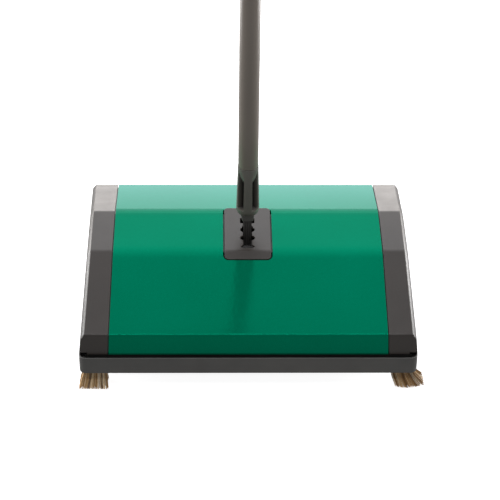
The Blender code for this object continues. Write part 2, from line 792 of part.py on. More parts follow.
def make_bristles(axis):
    section = bristle_section()
    loops = []
    for station in range(BRUSH_STATIONS + 1):
        t = station / BRUSH_STATIONS
        x = BRUSH_HALF_LENGTH * (2 * t - 1)
        twist = BRUSH_TWIST * t
        loops.append([
            Vector((x, radius * cos(angle + twist), BRUSH_Z + radius * sin(angle + twist)))
            for radius, angle in section
        ])
    bore = CORE_RADIUS + GAP / cos(pi / SMALL_STEPS)
    for x in (BRUSH_HALF_LENGTH, -BRUSH_HALF_LENGTH):
        loops.append([
            Vector((x, bore * cos(angle + BRUSH_TWIST), BRUSH_Z + bore * sin(angle + BRUSH_TWIST)))
            for _, angle in section
        ])
    shift = len(section) // 2
    finish_object("brush_bristles", ring_loft(loops, shift), "bristle", axis)


def make_wheels():
    for corner, (side, end) in CORNERS.items():
        x = side * WHEEL_X
        centre = (end * WHEEL_Y, TYRE_RADIUS)
        axis = joint_axis("wheel_axis_" + corner, (x, *centre))
        bore = WHEEL_AXLE_RADIUS + GAP
        profile = [
            (RIM_RADIUS + GAP, x - TYRE_HALF_WIDTH),
            (TYRE_RADIUS - TYRE_CROWN, x - TYRE_HALF_WIDTH),
            (TYRE_RADIUS, x - TYRE_HALF_WIDTH + TYRE_CROWN),
            (TYRE_RADIUS, x + TYRE_HALF_WIDTH - TYRE_CROWN),
            (TYRE_RADIUS - TYRE_CROWN, x + TYRE_HALF_WIDTH),
            (RIM_RADIUS + GAP, x + TYRE_HALF_WIDTH),
        ]
        tyre = turned_about_x(profile, centre, TYRE_STEPS, True)
        finish_object("wheel_tyre_" + corner, tyre, "tyre_rubber", axis)
        rim_bore = RIM_RADIUS - HUB_RIM_DEPTH
        profile = [
            (bore, x - HUB_BOSS_HALF_WIDTH),
            (HUB_BOSS_RADIUS, x - HUB_BOSS_HALF_WIDTH),
            (HUB_BOSS_RADIUS, x - HUB_WEB_HALF_WIDTH),
            (rim_bore, x - HUB_WEB_HALF_WIDTH),
            (rim_bore, x - HUB_HALF_WIDTH),
            (RIM_RADIUS, x - HUB_HALF_WIDTH),
            (RIM_RADIUS, x + HUB_HALF_WIDTH),
            (rim_bore, x + HUB_HALF_WIDTH),
            (rim_bore, x + HUB_WEB_HALF_WIDTH),
            (HUB_BOSS_RADIUS, x + HUB_WEB_HALF_WIDTH),
            (HUB_BOSS_RADIUS, x + HUB_BOSS_HALF_WIDTH),
            (bore, x + HUB_BOSS_HALF_WIDTH),
        ]
        hub = turned_about_x(profile, centre, ROUND_STEPS, True)
        finish_object("wheel_hub_" + corner, hub, "hub_grey", axis)
        low, high = sorted((side * (INNER_WALL_X + GAP), side * CHASSIS_HALF_WIDTH))
        rod_along_x("wheel_axle_" + corner, "steel", centre, low, high, WHEEL_AXLE_RADIUS)


# Dirt pans

def make_pan(name, end):
    axis = joint_axis(name + "_axis", (0.0, end * PAN_HINGE_Y, PAN_HINGE_Z))
    outer = [
        (PAN_OUTER_Y, PAN_RIM_Z),
        (PAN_OUTER_Y, PAN_FLOOR_Z + PAN_HEEL),
        (PAN_OUTER_Y - PAN_HEEL, PAN_FLOOR_Z),
        (PAN_LIP_Y + PAN_RAMP, PAN_FLOOR_Z),
        (PAN_LIP_Y, PAN_FLOOR_Z + PAN_LIP_RISE),
        (PAN_LIP_Y, PAN_FLOOR_Z + PAN_END_RISE),
        (PAN_LIP_Y + PAN_RAMP, PAN_RIM_Z - PAN_RAMP),
        (PAN_LIP_Y + PAN_END_SLOPE, PAN_RIM_Z),
    ]
    skin = PAN_SKIN
    room = [
        (PAN_OUTER_Y - skin, PAN_RIM_Z + skin),
        (PAN_OUTER_Y - skin, PAN_FLOOR_Z + PAN_HEEL + skin / 2),
        (PAN_OUTER_Y - PAN_HEEL - skin / 2, PAN_FLOOR_Z + skin),
        (PAN_LIP_Y + PAN_RAMP, PAN_FLOOR_Z + skin),
        (PAN_LIP_Y - PAN_RAMP, PAN_FLOOR_Z + 2 * PAN_LIP_RISE + skin),
        (PAN_LIP_Y - PAN_RAMP, PAN_RIM_Z + skin),
    ]
    width = PAN_HALF_WIDTH
    outer = [Vector((end * y, z)) for y, z in outer]
    room = [Vector((end * y, z)) for y, z in room]
    pan = finish_object(name, loft([along_x(outer, -width), along_x(outer, width)]), "chassis_black", axis)
    hollow = finish_object("cut_" + name, loft([
        along_x(room, skin - width), along_x(room, width - skin),
    ]))
    combine(pan, hollow, "DIFFERENCE")
    for side in (LEFT, RIGHT):
        low = side * PAN_LUG_X - PAN_LUG_HALF_WIDTH
        high = side * PAN_LUG_X + PAN_LUG_HALF_WIDTH
        arm = lug_outline(end)
        lug = finish_object(name + "_lug", loft([along_x(arm, low), along_x(arm, high)]))
        combine(pan, lug, "UNION")
    bore = cutter_along_x(
        "cut_" + name + "_bore", (end * PAN_HINGE_Y, PAN_HINGE_Z), -width, width, PAN_ROD_RADIUS + GAP
    )
    combine(pan, bore, "DIFFERENCE")
    reach = INNER_WALL_X + INNER_WALL_THICKNESS / 2
    rod_along_x(name + "_rod", "steel", (end * PAN_HINGE_Y, PAN_HINGE_Z), -reach, reach, PAN_ROD_RADIUS)
    make_pan_spring(name, end)


def lug_outline(end):
    """The side view of a lug: a round eye on the hinge, and an arm to the pan's outer wall."""
    wall_y = PAN_OUTER_Y - PAN_SKIN / 2
    points = []
    for step in range(7):
        angle = pi / 2 + pi * step / 6
        points.append((
            PAN_HINGE_Y - PAN_LUG_RADIUS * cos(angle),
            PAN_HINGE_Z + PAN_LUG_RADIUS * sin(angle),
        ))
    points += [(wall_y, PAN_HINGE_Z - PAN_LUG_RADIUS), (wall_y, PAN_HINGE_Z + PAN_LUG_RADIUS)]
    return [Vector((end * y, z)) for y, z in points]


def make_pan_spring(name, end):
    """A torsion spring round the hinge rod, with a short leg at each end."""
    points = []
    for i in range(SPRING_TURNS * SPRING_POINTS_PER_TURN + 1):
        turns = i / SPRING_POINTS_PER_TURN
        angle = 2 * pi * turns
        x = SPRING_PITCH * (turns - SPRING_TURNS / 2)
        points.append(Vector((
            x,
            end * (PAN_HINGE_Y + SPRING_RADIUS * cos(angle)),
            PAN_HINGE_Z + SPRING_RADIUS * sin(angle),
        )))
    leg = Vector((0.0, 0.0, SPRING_LEG))
    points.insert(0, points[0] + leg)
    points.append(points[-1] + leg)
    wire(name + "_spring", "steel", points, SPRING_WIRE_RADIUS)


# Handle

def shank_outline():
    """The shank's ribbed cross-section, with grooves on its front and rear faces."""
    pitch = 2 * SHANK_HALF_WIDTH / (2 * SHANK_RIBS - 1)
    front = []
    for rib in range(SHANK_RIBS):
        x = -SHANK_HALF_WIDTH + 2 * rib * pitch
        front += [(x, SHANK_HALF_DEPTH), (x + pitch, SHANK_HALF_DEPTH)]
        if rib < SHANK_RIBS - 1:
            groove = SHANK_HALF_DEPTH - SHANK_GROOVE
            front += [(x + pitch * 1.1, groove), (x + pitch * 1.9, groove)]
    return [Vector((x, -y)) for x, y in front] + [Vector((x, y)) for x, y in reversed(front)]


def make_yoke(axis):
    ribbed = shank_outline()
    yoke = finish_object("handle_yoke", loft([
        along_z(ribbed, PIVOT_Z), along_z(ribbed, NECK_LOW_Z),
    ]), "chassis_black", axis)
    neck = block(
        (-SHANK_HALF_WIDTH, -SHANK_HALF_DEPTH, NECK_LOW_Z - GAP),
        (SHANK_HALF_WIDTH, SHANK_HALF_DEPTH, SOCKET_LOW_Z - GAP),
    )
    combine(yoke, finish_object("yoke_neck", neck), "UNION")
    tang = block(
        (-TANG_HALF_WIDTH, -TANG_HALF_WIDTH, SOCKET_LOW_Z - 2 * GAP),
        (TANG_HALF_WIDTH, TANG_HALF_WIDTH, YOKE_HIGH_Z),
    )
    combine(yoke, finish_object("yoke_tang", tang), "UNION")
    hub = turned_about_x(
        [(HUB_RADIUS, -HUB_HALF_LENGTH), (HUB_RADIUS, HUB_HALF_LENGTH)], (0.0, PIVOT_Z), ROUND_STEPS, False
    )
    combine(yoke, finish_object("yoke_hub", hub), "UNION")
    bore = cutter_along_x(
        "cut_yoke_bore", (0.0, PIVOT_Z), -2 * HUB_HALF_LENGTH, 2 * HUB_HALF_LENGTH, PIN_RADIUS + GAP
    )
    combine(yoke, bore, "DIFFERENCE")


def fluted_loop(z, outer, floor):
    """A loop with four ridges and four flutes between them; equal radii make it round."""
    quarter = [
        (0.0, outer),
        (FLUTE_START / 2, outer),
        (FLUTE_START, outer),
        (FLUTE_START + FLUTE_FLANK, floor),
        ((FLUTE_START + FLUTE_END) / 2, floor),
        (FLUTE_END - FLUTE_FLANK, floor),
        (FLUTE_END, outer),
        ((FLUTE_END + pi / 2) / 2, outer),
    ]
    half = quarter + [(pi / 2, outer)] + [(pi - angle, radius) for angle, radius in reversed(quarter[1:])]
    turn = half + [(pi + angle, radius) for angle, radius in half]
    return [Vector((radius * sin(angle), -radius * cos(angle), z)) for angle, radius in turn]


def make_socket(axis):
    """Holds the shank's tang below, and its spigot above plugs into the lowest tube."""
    def outer(z):
        share = (z - FLUTE_LOW_Z) / (SOCKET_HIGH_Z - FLUTE_LOW_Z)
        return SOCKET_RADIUS + (SOCKET_TOP_RADIUS - SOCKET_RADIUS) * share

    bore = hypot(TANG_HALF_WIDTH, TANG_HALF_WIDTH) + GAP
    spigot = TUBE_RADIUS - TUBE_WALL - GAP
    stations = [(YOKE_HIGH_Z + GAP, bore, bore), (SOCKET_LOW_Z, bore, bore)]
    for step in range(COLLAR_STEPS + 1):
        angle = pi / 2 * step / COLLAR_STEPS
        radius = SOCKET_FOOT_RADIUS + (SOCKET_RADIUS - SOCKET_FOOT_RADIUS) * sin(angle)
        stations.append((SOCKET_LOW_Z + SOCKET_ROUNDING * (1 - cos(angle)), radius, radius))
    stations += [
        (FLUTE_LOW_Z, SOCKET_RADIUS, SOCKET_RADIUS),
        (FLUTE_FULL_Z, outer(FLUTE_FULL_Z), FLUTE_FLOOR_RADIUS),
        (FLUTE_FADE_Z, outer(FLUTE_FADE_Z), FLUTE_FLOOR_RADIUS),
        (FLUTE_HIGH_Z, outer(FLUTE_HIGH_Z), outer(FLUTE_HIGH_Z)),
        (SOCKET_HIGH_Z, SOCKET_TOP_RADIUS, SOCKET_TOP_RADIUS),
        (SOCKET_HIGH_Z, spigot, spigot),
        (SOCKET_HIGH_Z + SPIGOT_LENGTH, spigot, spigot),
    ]
    loops = [fluted_loop(*station) for station in stations]
    finish_object("handle_socket", loft(loops), "dark_plastic", axis)


def make_tubes(axis):
    """Three steel tubes: each one's necked top end plugs into the bottom of the next."""
    names = ("lower", "middle", "upper")
    bore = TUBE_RADIUS - TUBE_WALL
    spigot = bore - GAP
    for index, name in zip(range(TUBE_COUNT), names):
        low = TUBE_LOW_Z + index * (TUBE_LENGTH + GAP)
        high = low + TUBE_LENGTH
        profile = [(bore, low), (TUBE_RADIUS, low)]
        if index < TUBE_COUNT - 1:
            profile += [
                (TUBE_RADIUS, high),
                (spigot, high),
                (spigot, high + SPIGOT_LENGTH),
                (spigot - TUBE_WALL, high + SPIGOT_LENGTH),
                (spigot - TUBE_WALL, high - 4 * TUBE_WALL),
                (bore, high - 6 * TUBE_WALL),
            ]
        else:
            profile += [(TUBE_RADIUS, high), (bore, high)]
        finish_object("handle_tube_" + name, turned_about_z(profile, ROUND_STEPS, True), "tube_paint", axis)


def tube_top():
    return TUBE_LOW_Z + TUBE_COUNT * (TUBE_LENGTH + GAP) - GAP


def make_grip(axis):
    low = tube_top() - GRIP_BORE_DEPTH
    high = low + GRIP_LENGTH
    bore = TUBE_RADIUS + GAP
    profile = [
        (bore, tube_top() + GAP),
        (bore, low),
        (GRIP_WAIST_RADIUS, low),
        (GRIP_RADIUS, low + 0.03 * GRIP_LENGTH),
        (GRIP_WAIST_RADIUS, low + 0.35 * GRIP_LENGTH),
        (GRIP_WAIST_RADIUS, low + 0.60 * GRIP_LENGTH),
        (GRIP_HEAD_RADIUS, low + 0.87 * GRIP_LENGTH),
        (GRIP_RADIUS, low + 0.94 * GRIP_LENGTH),
        (0.8 * GRIP_RADIUS, low + 0.985 * GRIP_LENGTH),
        (0.5 * GRIP_RADIUS, high),
    ]
    grip = finish_object("handle_grip", turned_about_z(profile, ROUND_STEPS, False), "dark_plastic", axis)
    hole_z = high - HANG_HOLE_DROP
    hole = turned_about_x(
        [(HANG_HOLE_RADIUS, -2 * GRIP_RADIUS), (HANG_HOLE_RADIUS, 2 * GRIP_RADIUS)],
        (0.0, hole_z), SMALL_STEPS, False,
    )
    combine(grip, finish_object("cut_hang_hole", hole), "DIFFERENCE")


def make_handle():
    axis = joint_axis("handle_axis", (0.0, 0.0, PIVOT_Z))
    make_yoke(axis)
    make_socket(axis)
    make_tubes(axis)
    make_grip(axis)


def main():
    clear_scene()
    make_top_cover()
    make_end_cap("end_cap_left", LEFT)
    make_end_cap("end_cap_right", RIGHT)
    make_bumper()
    make_chassis()
    make_screws()
    make_corner_brushes()
    make_handle_plate()
    make_handle_bracket()
    make_detent_spring()
    make_brush_roll()
    make_wheels()
    make_pan("dirt_pan_front", FRONT)
    make_pan("dirt_pan_rear", REAR)
    make_handle()


main()
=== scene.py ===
"""Looks of the carpet sweeper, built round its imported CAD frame."""

import random
from math import acos, cos, hypot, pi, radians, sin, tan

import bmesh
import bpy
from mathutils import Matrix, Vector


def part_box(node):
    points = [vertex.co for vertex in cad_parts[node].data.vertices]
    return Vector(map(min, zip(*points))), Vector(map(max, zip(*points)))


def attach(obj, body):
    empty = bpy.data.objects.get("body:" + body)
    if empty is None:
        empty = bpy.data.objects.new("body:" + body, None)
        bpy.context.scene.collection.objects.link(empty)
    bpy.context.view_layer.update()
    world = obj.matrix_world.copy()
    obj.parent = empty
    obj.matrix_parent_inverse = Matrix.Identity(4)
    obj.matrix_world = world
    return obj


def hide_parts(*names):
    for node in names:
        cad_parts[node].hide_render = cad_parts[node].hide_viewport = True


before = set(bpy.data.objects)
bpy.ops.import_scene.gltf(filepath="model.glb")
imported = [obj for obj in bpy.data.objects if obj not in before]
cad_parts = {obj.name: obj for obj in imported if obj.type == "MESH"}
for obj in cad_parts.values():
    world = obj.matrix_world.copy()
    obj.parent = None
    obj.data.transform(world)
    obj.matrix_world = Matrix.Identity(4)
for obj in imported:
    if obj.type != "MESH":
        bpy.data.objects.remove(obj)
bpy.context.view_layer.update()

# Casing: the side view that the cover, the caps and the plate share; the CAD's, but for the creases
BASE_Z = 0.0370
CASING_HALF_LENGTH = 0.1225
LIP_HALF_LENGTH = 0.1190
LIP_Z = 0.0577
TOP_HALF_LENGTH = 0.03125
TOP_Z = 0.0889
LIP_RADIUS = 0.0034
TOP_RADIUS = 0.0120
COVER_TOP_RADIUS = 0.0500
COVER_HALF_WIDTH = 0.1305
COVER_DRAFT = radians(2.4)
SIDE_HALF_WIDTH = 0.1575
SIDE_DRAFT = radians(5.5)
# The caps' outer edge: for each loop its inset, its distance back from the side, its lip's inset
END_FACET = (
    (0.0, 0.0035, 0.0), (0.0004, 0.0029, 0.0), (0.0017, 0.0020, 0.0001), (0.0033, 0.0010, 0.0002),
    (0.0049, 0.0002, 0.0005), (0.0057, 0.0, 0.0009), (0.0064, 0.0, 0.0013),
)
COVER_THICKNESS = 0.0025
CAP_THICKNESS = 0.0030
CAP_SIDE_THICKNESS = 1.6 * CAP_THICKNESS
CREASE_STEPS = 8

# The seam between cover and caps: its width, and the caps' tongue that closes it from below
SEAM = 0.0008
TONGUE_GAP = 0.0002
TONGUE_REACH = 0.0022
TONGUE_THICKNESS = 0.0013

# A small notch at each outer foot of the caps, and how far a cutter reaches past what it cuts
FOOT_NOTCH_LOW_X, FOOT_NOTCH_HIGH_X = 0.1500, 0.1562
FOOT_NOTCH_HEIGHT = 0.0021
CUT_MARGIN = 0.0010

LEFT, RIGHT, FRONT, REAR = -1, 1, -1, 1
CORNERS = {
    "front_left": (LEFT, FRONT),
    "front_right": (RIGHT, FRONT),
    "rear_left": (LEFT, REAR),
    "rear_right": (RIGHT, REAR),
}


# Materials

def linear(red, green, blue):
    """A display colour, 0 to 255, as the linear colour that shaders take."""
    def channel(value):
        value /= 255
        return value / 12.92 if value <= 0.04045 else ((value + 0.055) / 1.055) ** 2.4
    return (channel(red), channel(green), channel(blue), 1.0)


class Surface:
    """A Principled material whose colour, roughness and bump come from procedural nodes."""

    def __init__(self, name, roughness=0.5, metallic=0.0, ior=1.5):
        self.material = bpy.data.materials.new(name)
        self.material.use_nodes = True
        self.tree = self.material.node_tree
        self.shader = self.tree.nodes["Principled BSDF"]
        self.shader.inputs["Roughness"].default_value = roughness
        self.shader.inputs["Metallic"].default_value = metallic
        self.shader.inputs["IOR"].default_value = ior
        self.coordinates = self.add("ShaderNodeTexCoord").outputs["Object"]

    def add(self, kind, **values):
        """A new node, with its properties or, where it has none of that name, its inputs set."""
        node = self.tree.nodes.new(kind)
        for key, value in values.items():
            if hasattr(node, key):
                setattr(node, key, value)
            else:
                node.inputs[key.replace("_", " ").title()].default_value = value
        return node

    def link(self, source, target):
        self.tree.links.new(source, target)

    def stretched(self, scale):
        mapping = self.add("ShaderNodeMapping")
        mapping.inputs["Scale"].default_value = scale
        self.link(self.coordinates, mapping.inputs["Vector"])
        return mapping.outputs["Vector"]

    def noise(self, scale, detail=3.0, stretch=None):
        node = self.add("ShaderNodeTexNoise", scale=scale, detail=detail)
        self.link(self.stretched(stretch) if stretch else self.coordinates, node.inputs["Vector"])
        return node.outputs["Fac"]

    def ramp(self, source, stops):
        node = self.add("ShaderNodeValToRGB")
        elements = node.color_ramp.elements
        while len(elements) < len(stops):
            elements.new(0.5)
        for element, (position, colour) in zip(elements, stops):
            element.position = position
            element.color = colour
        self.link(source, node.inputs["Fac"])
        return node.outputs["Color"]

    def span(self, source, low, high):
        """A noise's usual range, stretched from low to high."""
        node = self.add("ShaderNodeMapRange")
        for name, value in (("From Min", 0.3), ("From Max", 0.7), ("To Min", low), ("To Max", high)):
            node.inputs[name].default_value = value
        self.link(source, node.inputs["Value"])
        return node.outputs["Result"]

    def mix(self, factor, first, second, blend="MIX"):
        node = self.add("ShaderNodeMix", data_type="RGBA", blend_type=blend)
        for socket, value in ((0, factor), (6, first), (7, second)):
            if isinstance(value, bpy.types.NodeSocket):
                self.link(value, node.inputs[socket])
            else:
                node.inputs[socket].default_value = value
        return node.outputs[2]

    def attribute(self, name):
        return self.add("ShaderNodeAttribute", attribute_name=name).outputs["Color"]

    def colour(self, source):
        self.link(source, self.shader.inputs["Base Color"])

    def roughness(self, source):
        self.link(source, self.shader.inputs["Roughness"])

    def bump(self, layers):
        """Stack bumps: each layer is (height source, strength, distance in metres)."""
        normal = None
        for source, strength, distance in layers:
            node = self.add("ShaderNodeBump")
            node.inputs["Strength"].default_value = strength
            node.inputs["Distance"].default_value = distance
            self.link(source, node.inputs["Height"])
            if normal:
                self.link(normal, node.inputs["Normal"])
            normal = node.outputs["Normal"]
        self.link(normal, self.shader.inputs["Normal"])


def mottled(surface, source, low, high):
    """Two display colours, blended over a noise's usual range."""
    return surface.ramp(source, [(0.3, linear(*low)), (0.7, linear(*high))])


def make_green():
    """Pearl moulding: a deep green with metallic flecks, whose reflections stay green."""
    s = Surface("green_gloss", roughness=0.05, metallic=0.46, ior=1.12)
    s.shader.inputs["Specular Tint"].default_value = (0.0, 0.45, 0.54, 1)
    deep = mottled(s, s.noise(9.0, 2.0), (0, 108, 78), (0, 113, 83))
    fleck = s.ramp(s.noise(2600.0, 1.0), [(0.58, (0, 0, 0, 1)), (0.75, (0.35, 0.35, 0.35, 1))])
    s.colour(s.mix(fleck, deep, linear(10, 170, 134)))
    s.roughness(s.span(s.noise(40.0, 3.0), 0.045, 0.065))
    s.bump([(s.noise(260.0, 2.0), 0.10, 0.0003), (s.noise(2600.0, 1.0), 0.04, 0.0001)])
    return s.material


def make_taupe():
    """Satin dark moulding with a fine spark-eroded grain."""
    s = Surface("taupe_plastic", roughness=0.36, ior=1.5)
    body = mottled(s, s.noise(14.0, 3.0), (42, 37, 33), (50, 44, 40))
    grain = s.ramp(s.noise(2200.0, 2.0), [
        (0.35, (0.90, 0.90, 0.90, 1)), (0.65, (1.06, 1.06, 1.06, 1))
    ])
    s.colour(s.mix(1.0, body, grain, "MULTIPLY"))
    s.roughness(s.span(s.noise(60.0, 3.0), 0.33, 0.40))
    s.bump([(s.noise(2200.0, 2.0), 0.16, 0.0002), (s.noise(180.0, 2.0), 0.05, 0.0003)])
    return s.material


def make_bumper_vinyl():
    s = Surface("bumper_vinyl", roughness=0.52, ior=1.48)
    s.colour(mottled(s, s.noise(20.0, 3.0), (70, 69, 67), (78, 77, 74)))
    s.roughness(s.span(s.noise(90.0, 3.0), 0.46, 0.58))
    s.bump([(s.noise(1500.0, 2.0), 0.12, 0.0002), (s.noise(120.0, 2.0, (0.2, 1, 1)), 0.08, 0.0003)])
    return s.material


def make_black_plastic(name="black_plastic", tone=1.0):
    """Black moulding, or a dark grey one where the tone is above 1."""
    s = Surface(name, roughness=0.42)
    low, high = ([tone * channel for channel in colour] for colour in ((26, 25, 24), (34, 33, 32)))
    s.colour(mottled(s, s.noise(30.0, 3.0), low, high))
    s.roughness(s.span(s.noise(80.0, 3.0), 0.38, 0.50))
    s.bump([(s.noise(1600.0, 2.0), 0.15, 0.0002)])
    return s.material


def make_tube_paint():
    """Satin powder coat with a very fine orange peel."""
    s = Surface("tube_paint", roughness=0.34, ior=1.5)
    s.colour(mottled(s, s.noise(18.0, 2.0, (1, 1, 0.3)), (102, 94, 86), (108, 100, 92)))
    s.roughness(s.span(s.noise(70.0, 3.0), 0.30, 0.38))
    s.bump([(s.noise(1300.0, 2.0), 0.10, 0.0002)])
    return s.material


def make_socket_plastic():
    """Dark grey moulding with painted shade in its flutes: a colour attribute of the mesh darkens them.
    """
    s = Surface("socket_plastic_painted_flute_shade", roughness=0.40)
    body = mottled(s, s.noise(30.0, 3.0), (80, 77, 71), (88, 84, 78))
    # The tone attribute here is painted shade: it darkens the flutes, not the moulding's own colour
    tone = s.attribute("tone")
    s.colour(s.mix(1.0, body, tone, "MULTIPLY"))
    s.roughness(s.span(s.noise(80.0, 3.0), 0.36, 0.46))
    s.bump([(s.noise(1600.0, 2.0), 0.12, 0.0002)])
    return s.material


def make_steel():
    s = Surface("bright_steel", roughness=0.28, metallic=1.0)
    s.colour(s.ramp(s.noise(50.0, 3.0), [(0.3, (0.50, 0.50, 0.49, 1)), (0.7, (0.62, 0.62, 0.61, 1))]))
    s.roughness(s.span(s.noise(900.0, 2.0, (1, 0.05, 0.05)), 0.20, 0.38))
    s.bump([(s.noise(1200.0, 2.0, (1, 0.05, 0.05)), 0.05, 0.0001)])
    return s.material


def make_rubber():
    s = Surface("tyre_rubber", roughness=0.78, ior=1.45)
    s.colour(mottled(s, s.noise(60.0, 3.0), (30, 30, 30), (44, 43, 42)))
    s.bump([(s.noise(1400.0, 3.0), 0.25, 0.0002)])
    return s.material


def make_hub_plastic():
    s = Surface("hub_plastic", roughness=0.45)
    s.colour(mottled(s, s.noise(40.0, 3.0), (104, 103, 101), (118, 117, 114)))
    s.bump([(s.noise(1500.0, 2.0), 0.12, 0.0002)])
    return s.material


def make_wood():
    s = Surface("turned_wood", roughness=0.6)
    rings = s.noise(700.0, 4.0, (0.04, 1, 1))
    s.colour(s.ramp(rings, [
        (0.30, linear(124, 88, 54)), (0.50, linear(166, 126, 84)), (0.70, linear(184, 146, 102))
    ]))
    s.bump([(rings, 0.2, 0.0003)])
    return s.material


def make_bristle():
    """Natural fibre: each bristle has its own tone, kept in a colour attribute of the mesh."""
    s = Surface("natural_bristle", roughness=0.62, ior=1.5)
    tone = s.attribute("tone")
    streak = s.ramp(s.noise(900.0, 3.0, (1, 1, 0.15)), [
        (0.3, (0.68, 0.68, 0.68, 1)), (0.7, (0.98, 0.98, 1.02, 1))
    ])
    s.colour(s.mix(1.0, tone, streak, "MULTIPLY"))
    s.bump([(s.noise(3000.0, 2.0, (1, 1, 0.1)), 0.2, 0.0001)])
    return s.material


MATERIALS = {
    "green": make_green(),
    "taupe": make_taupe(),
    "bumper": make_bumper_vinyl(),
    "black": make_black_plastic(),
    "shank": make_black_plastic("shank_plastic", 2.2),
    "neck": make_black_plastic("neck_plastic", 2.9),
    "tube": make_tube_paint(),
    "socket": make_socket_plastic(),
    "steel": make_steel(),
    "rubber": make_rubber(),
    "hub": make_hub_plastic(),
    "wood": make_wood(),
    "bristle": make_bristle(),
}


# Mesh helpers

def finish_piece(name, builder, look, body, replaced=(), sharp=32):
    """Turn a bmesh in world coordinates into a piece that rides on a body."""
    bmesh.ops.recalc_face_normals(builder, faces=builder.faces)
    mesh = bpy.data.meshes.new(name)
    builder.to_mesh(mesh)
    builder.free()
    made = bpy.data.objects.new(name, mesh)
    bpy.context.collection.objects.link(made)
    mesh.materials.append(MATERIALS[look])
    mesh.shade_smooth()
    mesh.set_sharp_from_angle(angle=radians(sharp))
    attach(made, body)
    if replaced:
        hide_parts(*replaced)
    return made


def add_bevel(piece, width, segments=3, angle=32):
    """Round the piece's sharp edges, and keep its flat faces flat in the light."""
    bevel = piece.modifiers.new("edges", "BEVEL")
    bevel.width = width
    bevel.segments = segments
    bevel.limit_method = "ANGLE"
    bevel.angle_limit = radians(angle)
    bevel.harden_normals = True
    bevel.miter_outer = "MITER_ARC"


def cut(piece, builder, operation="DIFFERENCE"):
    """Apply a Boolean with a tool given as a bmesh, and leave no tool behind."""
    bmesh.ops.recalc_face_normals(builder, faces=builder.faces)
    mesh = bpy.data.meshes.new("tool")
    builder.to_mesh(mesh)
    builder.free()
    tool = bpy.data.objects.new("tool", mesh)
    bpy.context.collection.objects.link(tool)
    modifier = piece.modifiers.new("cut", "BOOLEAN")
    modifier.operation = operation
    modifier.solver = "EXACT"
    modifier.object = tool
    evaluated = piece.evaluated_get(bpy.context.evaluated_depsgraph_get())
    result = bpy.data.meshes.new_from_object(evaluated)
    piece.modifiers.remove(modifier)
    old = piece.data
    piece.data = result
    bpy.data.meshes.remove(old)
    bpy.data.objects.remove(tool, do_unlink=True)
    piece.data.shade_smooth()
    piece.data.set_sharp_from_angle(angle=radians(32))


def bridge(builder, ring, following):
    for i in range(len(ring)):
        j = (i + 1) % len(ring)
        builder.faces.new((ring[i], ring[j], following[j], following[i]))


def loft(loops):
    """A solid through the loops, with a face over the first and the last one."""
    builder = bmesh.new()
    rings = [[builder.verts.new(point) for point in loop] for loop in loops]
    for ring, following in zip(rings, rings[1:]):
        bridge(builder, ring, following)
    builder.faces.new(rings[0])
    builder.faces.new(rings[-1])
    return builder


def ring_loft(loops):
    """A ring-shaped solid, whose last loop joins up with the first one."""
    builder = bmesh.new()
    rings = [[builder.verts.new(point) for point in loop] for loop in loops]
    for ring, following in zip(rings, rings[1:] + rings[:1]):
        bridge(builder, ring, following)
    return builder


def along_x(outline, x):
    """A (y, z) outline as a loop at x, which may be a function of z."""
    return [Vector((x(z) if callable(x) else x, y, z)) for y, z in outline]


def along_z(outline, z):
    return [Vector((x, y, z)) for x, y in outline]


def block(low, high):
    plan = [(low[0], low[1]), (high[0], low[1]), (high[0], high[1]), (low[0], high[1])]
    return loft([along_z(plan, low[2]), along_z(plan, high[2])])


def circle(radius, steps, centre=(0.0, 0.0)):
    middle = Vector(centre)
    angles = [2 * pi * step / steps for step in range(steps)]
    return [middle + Vector((radius * cos(angle), radius * sin(angle))) for angle in angles]


def turned_x(profile, centre, steps, hollow=True):
    loops = [[Vector((x, y, z)) for y, z in circle(r, steps, centre)] for r, x in profile]
    return ring_loft(loops) if hollow else loft(loops)


def turned_z(profile, steps, hollow=True):
    loops = [along_z(circle(r, steps), z) for r, z in profile]
    return ring_loft(loops) if hollow else loft(loops)


def rounded_rectangle(half_x, half_y, radius, steps=8):
    points = []
    for quarter, (sx, sy) in enumerate(((1, 1), (-1, 1), (-1, -1), (1, -1))):
        for step in range(steps + 1):
            angle = (quarter + step / steps) * pi / 2
            points.append(Vector((
                sx * (half_x - radius) + radius * cos(angle),
                sy * (half_y - radius) + radius * sin(angle),
            )))
    return points


# Casing outline

def rounded_outline(corners, radii, steps):
    points = [Vector(corners[0])]
    for before, corner, after, radius in zip(corners, corners[1:], corners[2:], radii):
        inward = (before - corner).normalized()
        onward = (after - corner).normalized()
        half_angle = acos(max(-1.0, min(1.0, inward.dot(onward)))) / 2
        reach = radius / tan(half_angle)
        centre = corner + (inward + onward).normalized() * radius / sin(half_angle)
        start = corner + inward * reach - centre
        turn = start.angle_signed(corner + onward * reach - centre)
        for step in range(steps + 1):
            angle = -turn * step / steps
            points.append(centre + Vector((
                start.x * cos(angle) - start.y * sin(angle),
                start.x * sin(angle) + start.y * cos(angle),
            )))
    points.append(Vector(corners[-1]))
    return points


def casing_outline(inset=0.0, base_z=BASE_Z, lip_inset=None, top_radius=TOP_RADIUS):
    """The side view from the front base over the top to the rear base, as (y, z)."""
    lip_inset = inset if lip_inset is None else lip_inset
    half = [(CASING_HALF_LENGTH, BASE_Z), (LIP_HALF_LENGTH, LIP_Z), (TOP_HALF_LENGTH, TOP_Z)]
    corners = [Vector((-y, z)) for y, z in half] + [Vector((y, z)) for y, z in reversed(half)]
    insets = (lip_inset, inset, inset, inset, lip_inset)
    edges = []
    for start, end, depth in zip(corners, corners[1:], insets):
        along = (end - start).normalized()
        edges.append((start + Vector((along.y, -along.x)) * depth, along))
    moved = [at_height(edges[0], base_z)]
    for first, second in zip(edges, edges[1:]):
        moved.append(crossing(first, second))
    moved.append(at_height(edges[-1], base_z))
    radii = [max(r - inset, SEAM) for r in (LIP_RADIUS, top_radius, top_radius, LIP_RADIUS)]
    return rounded_outline(moved, radii, CREASE_STEPS)


def at_height(edge, z):
    start, along = edge
    return start + along * ((z - start.y) / along.y)


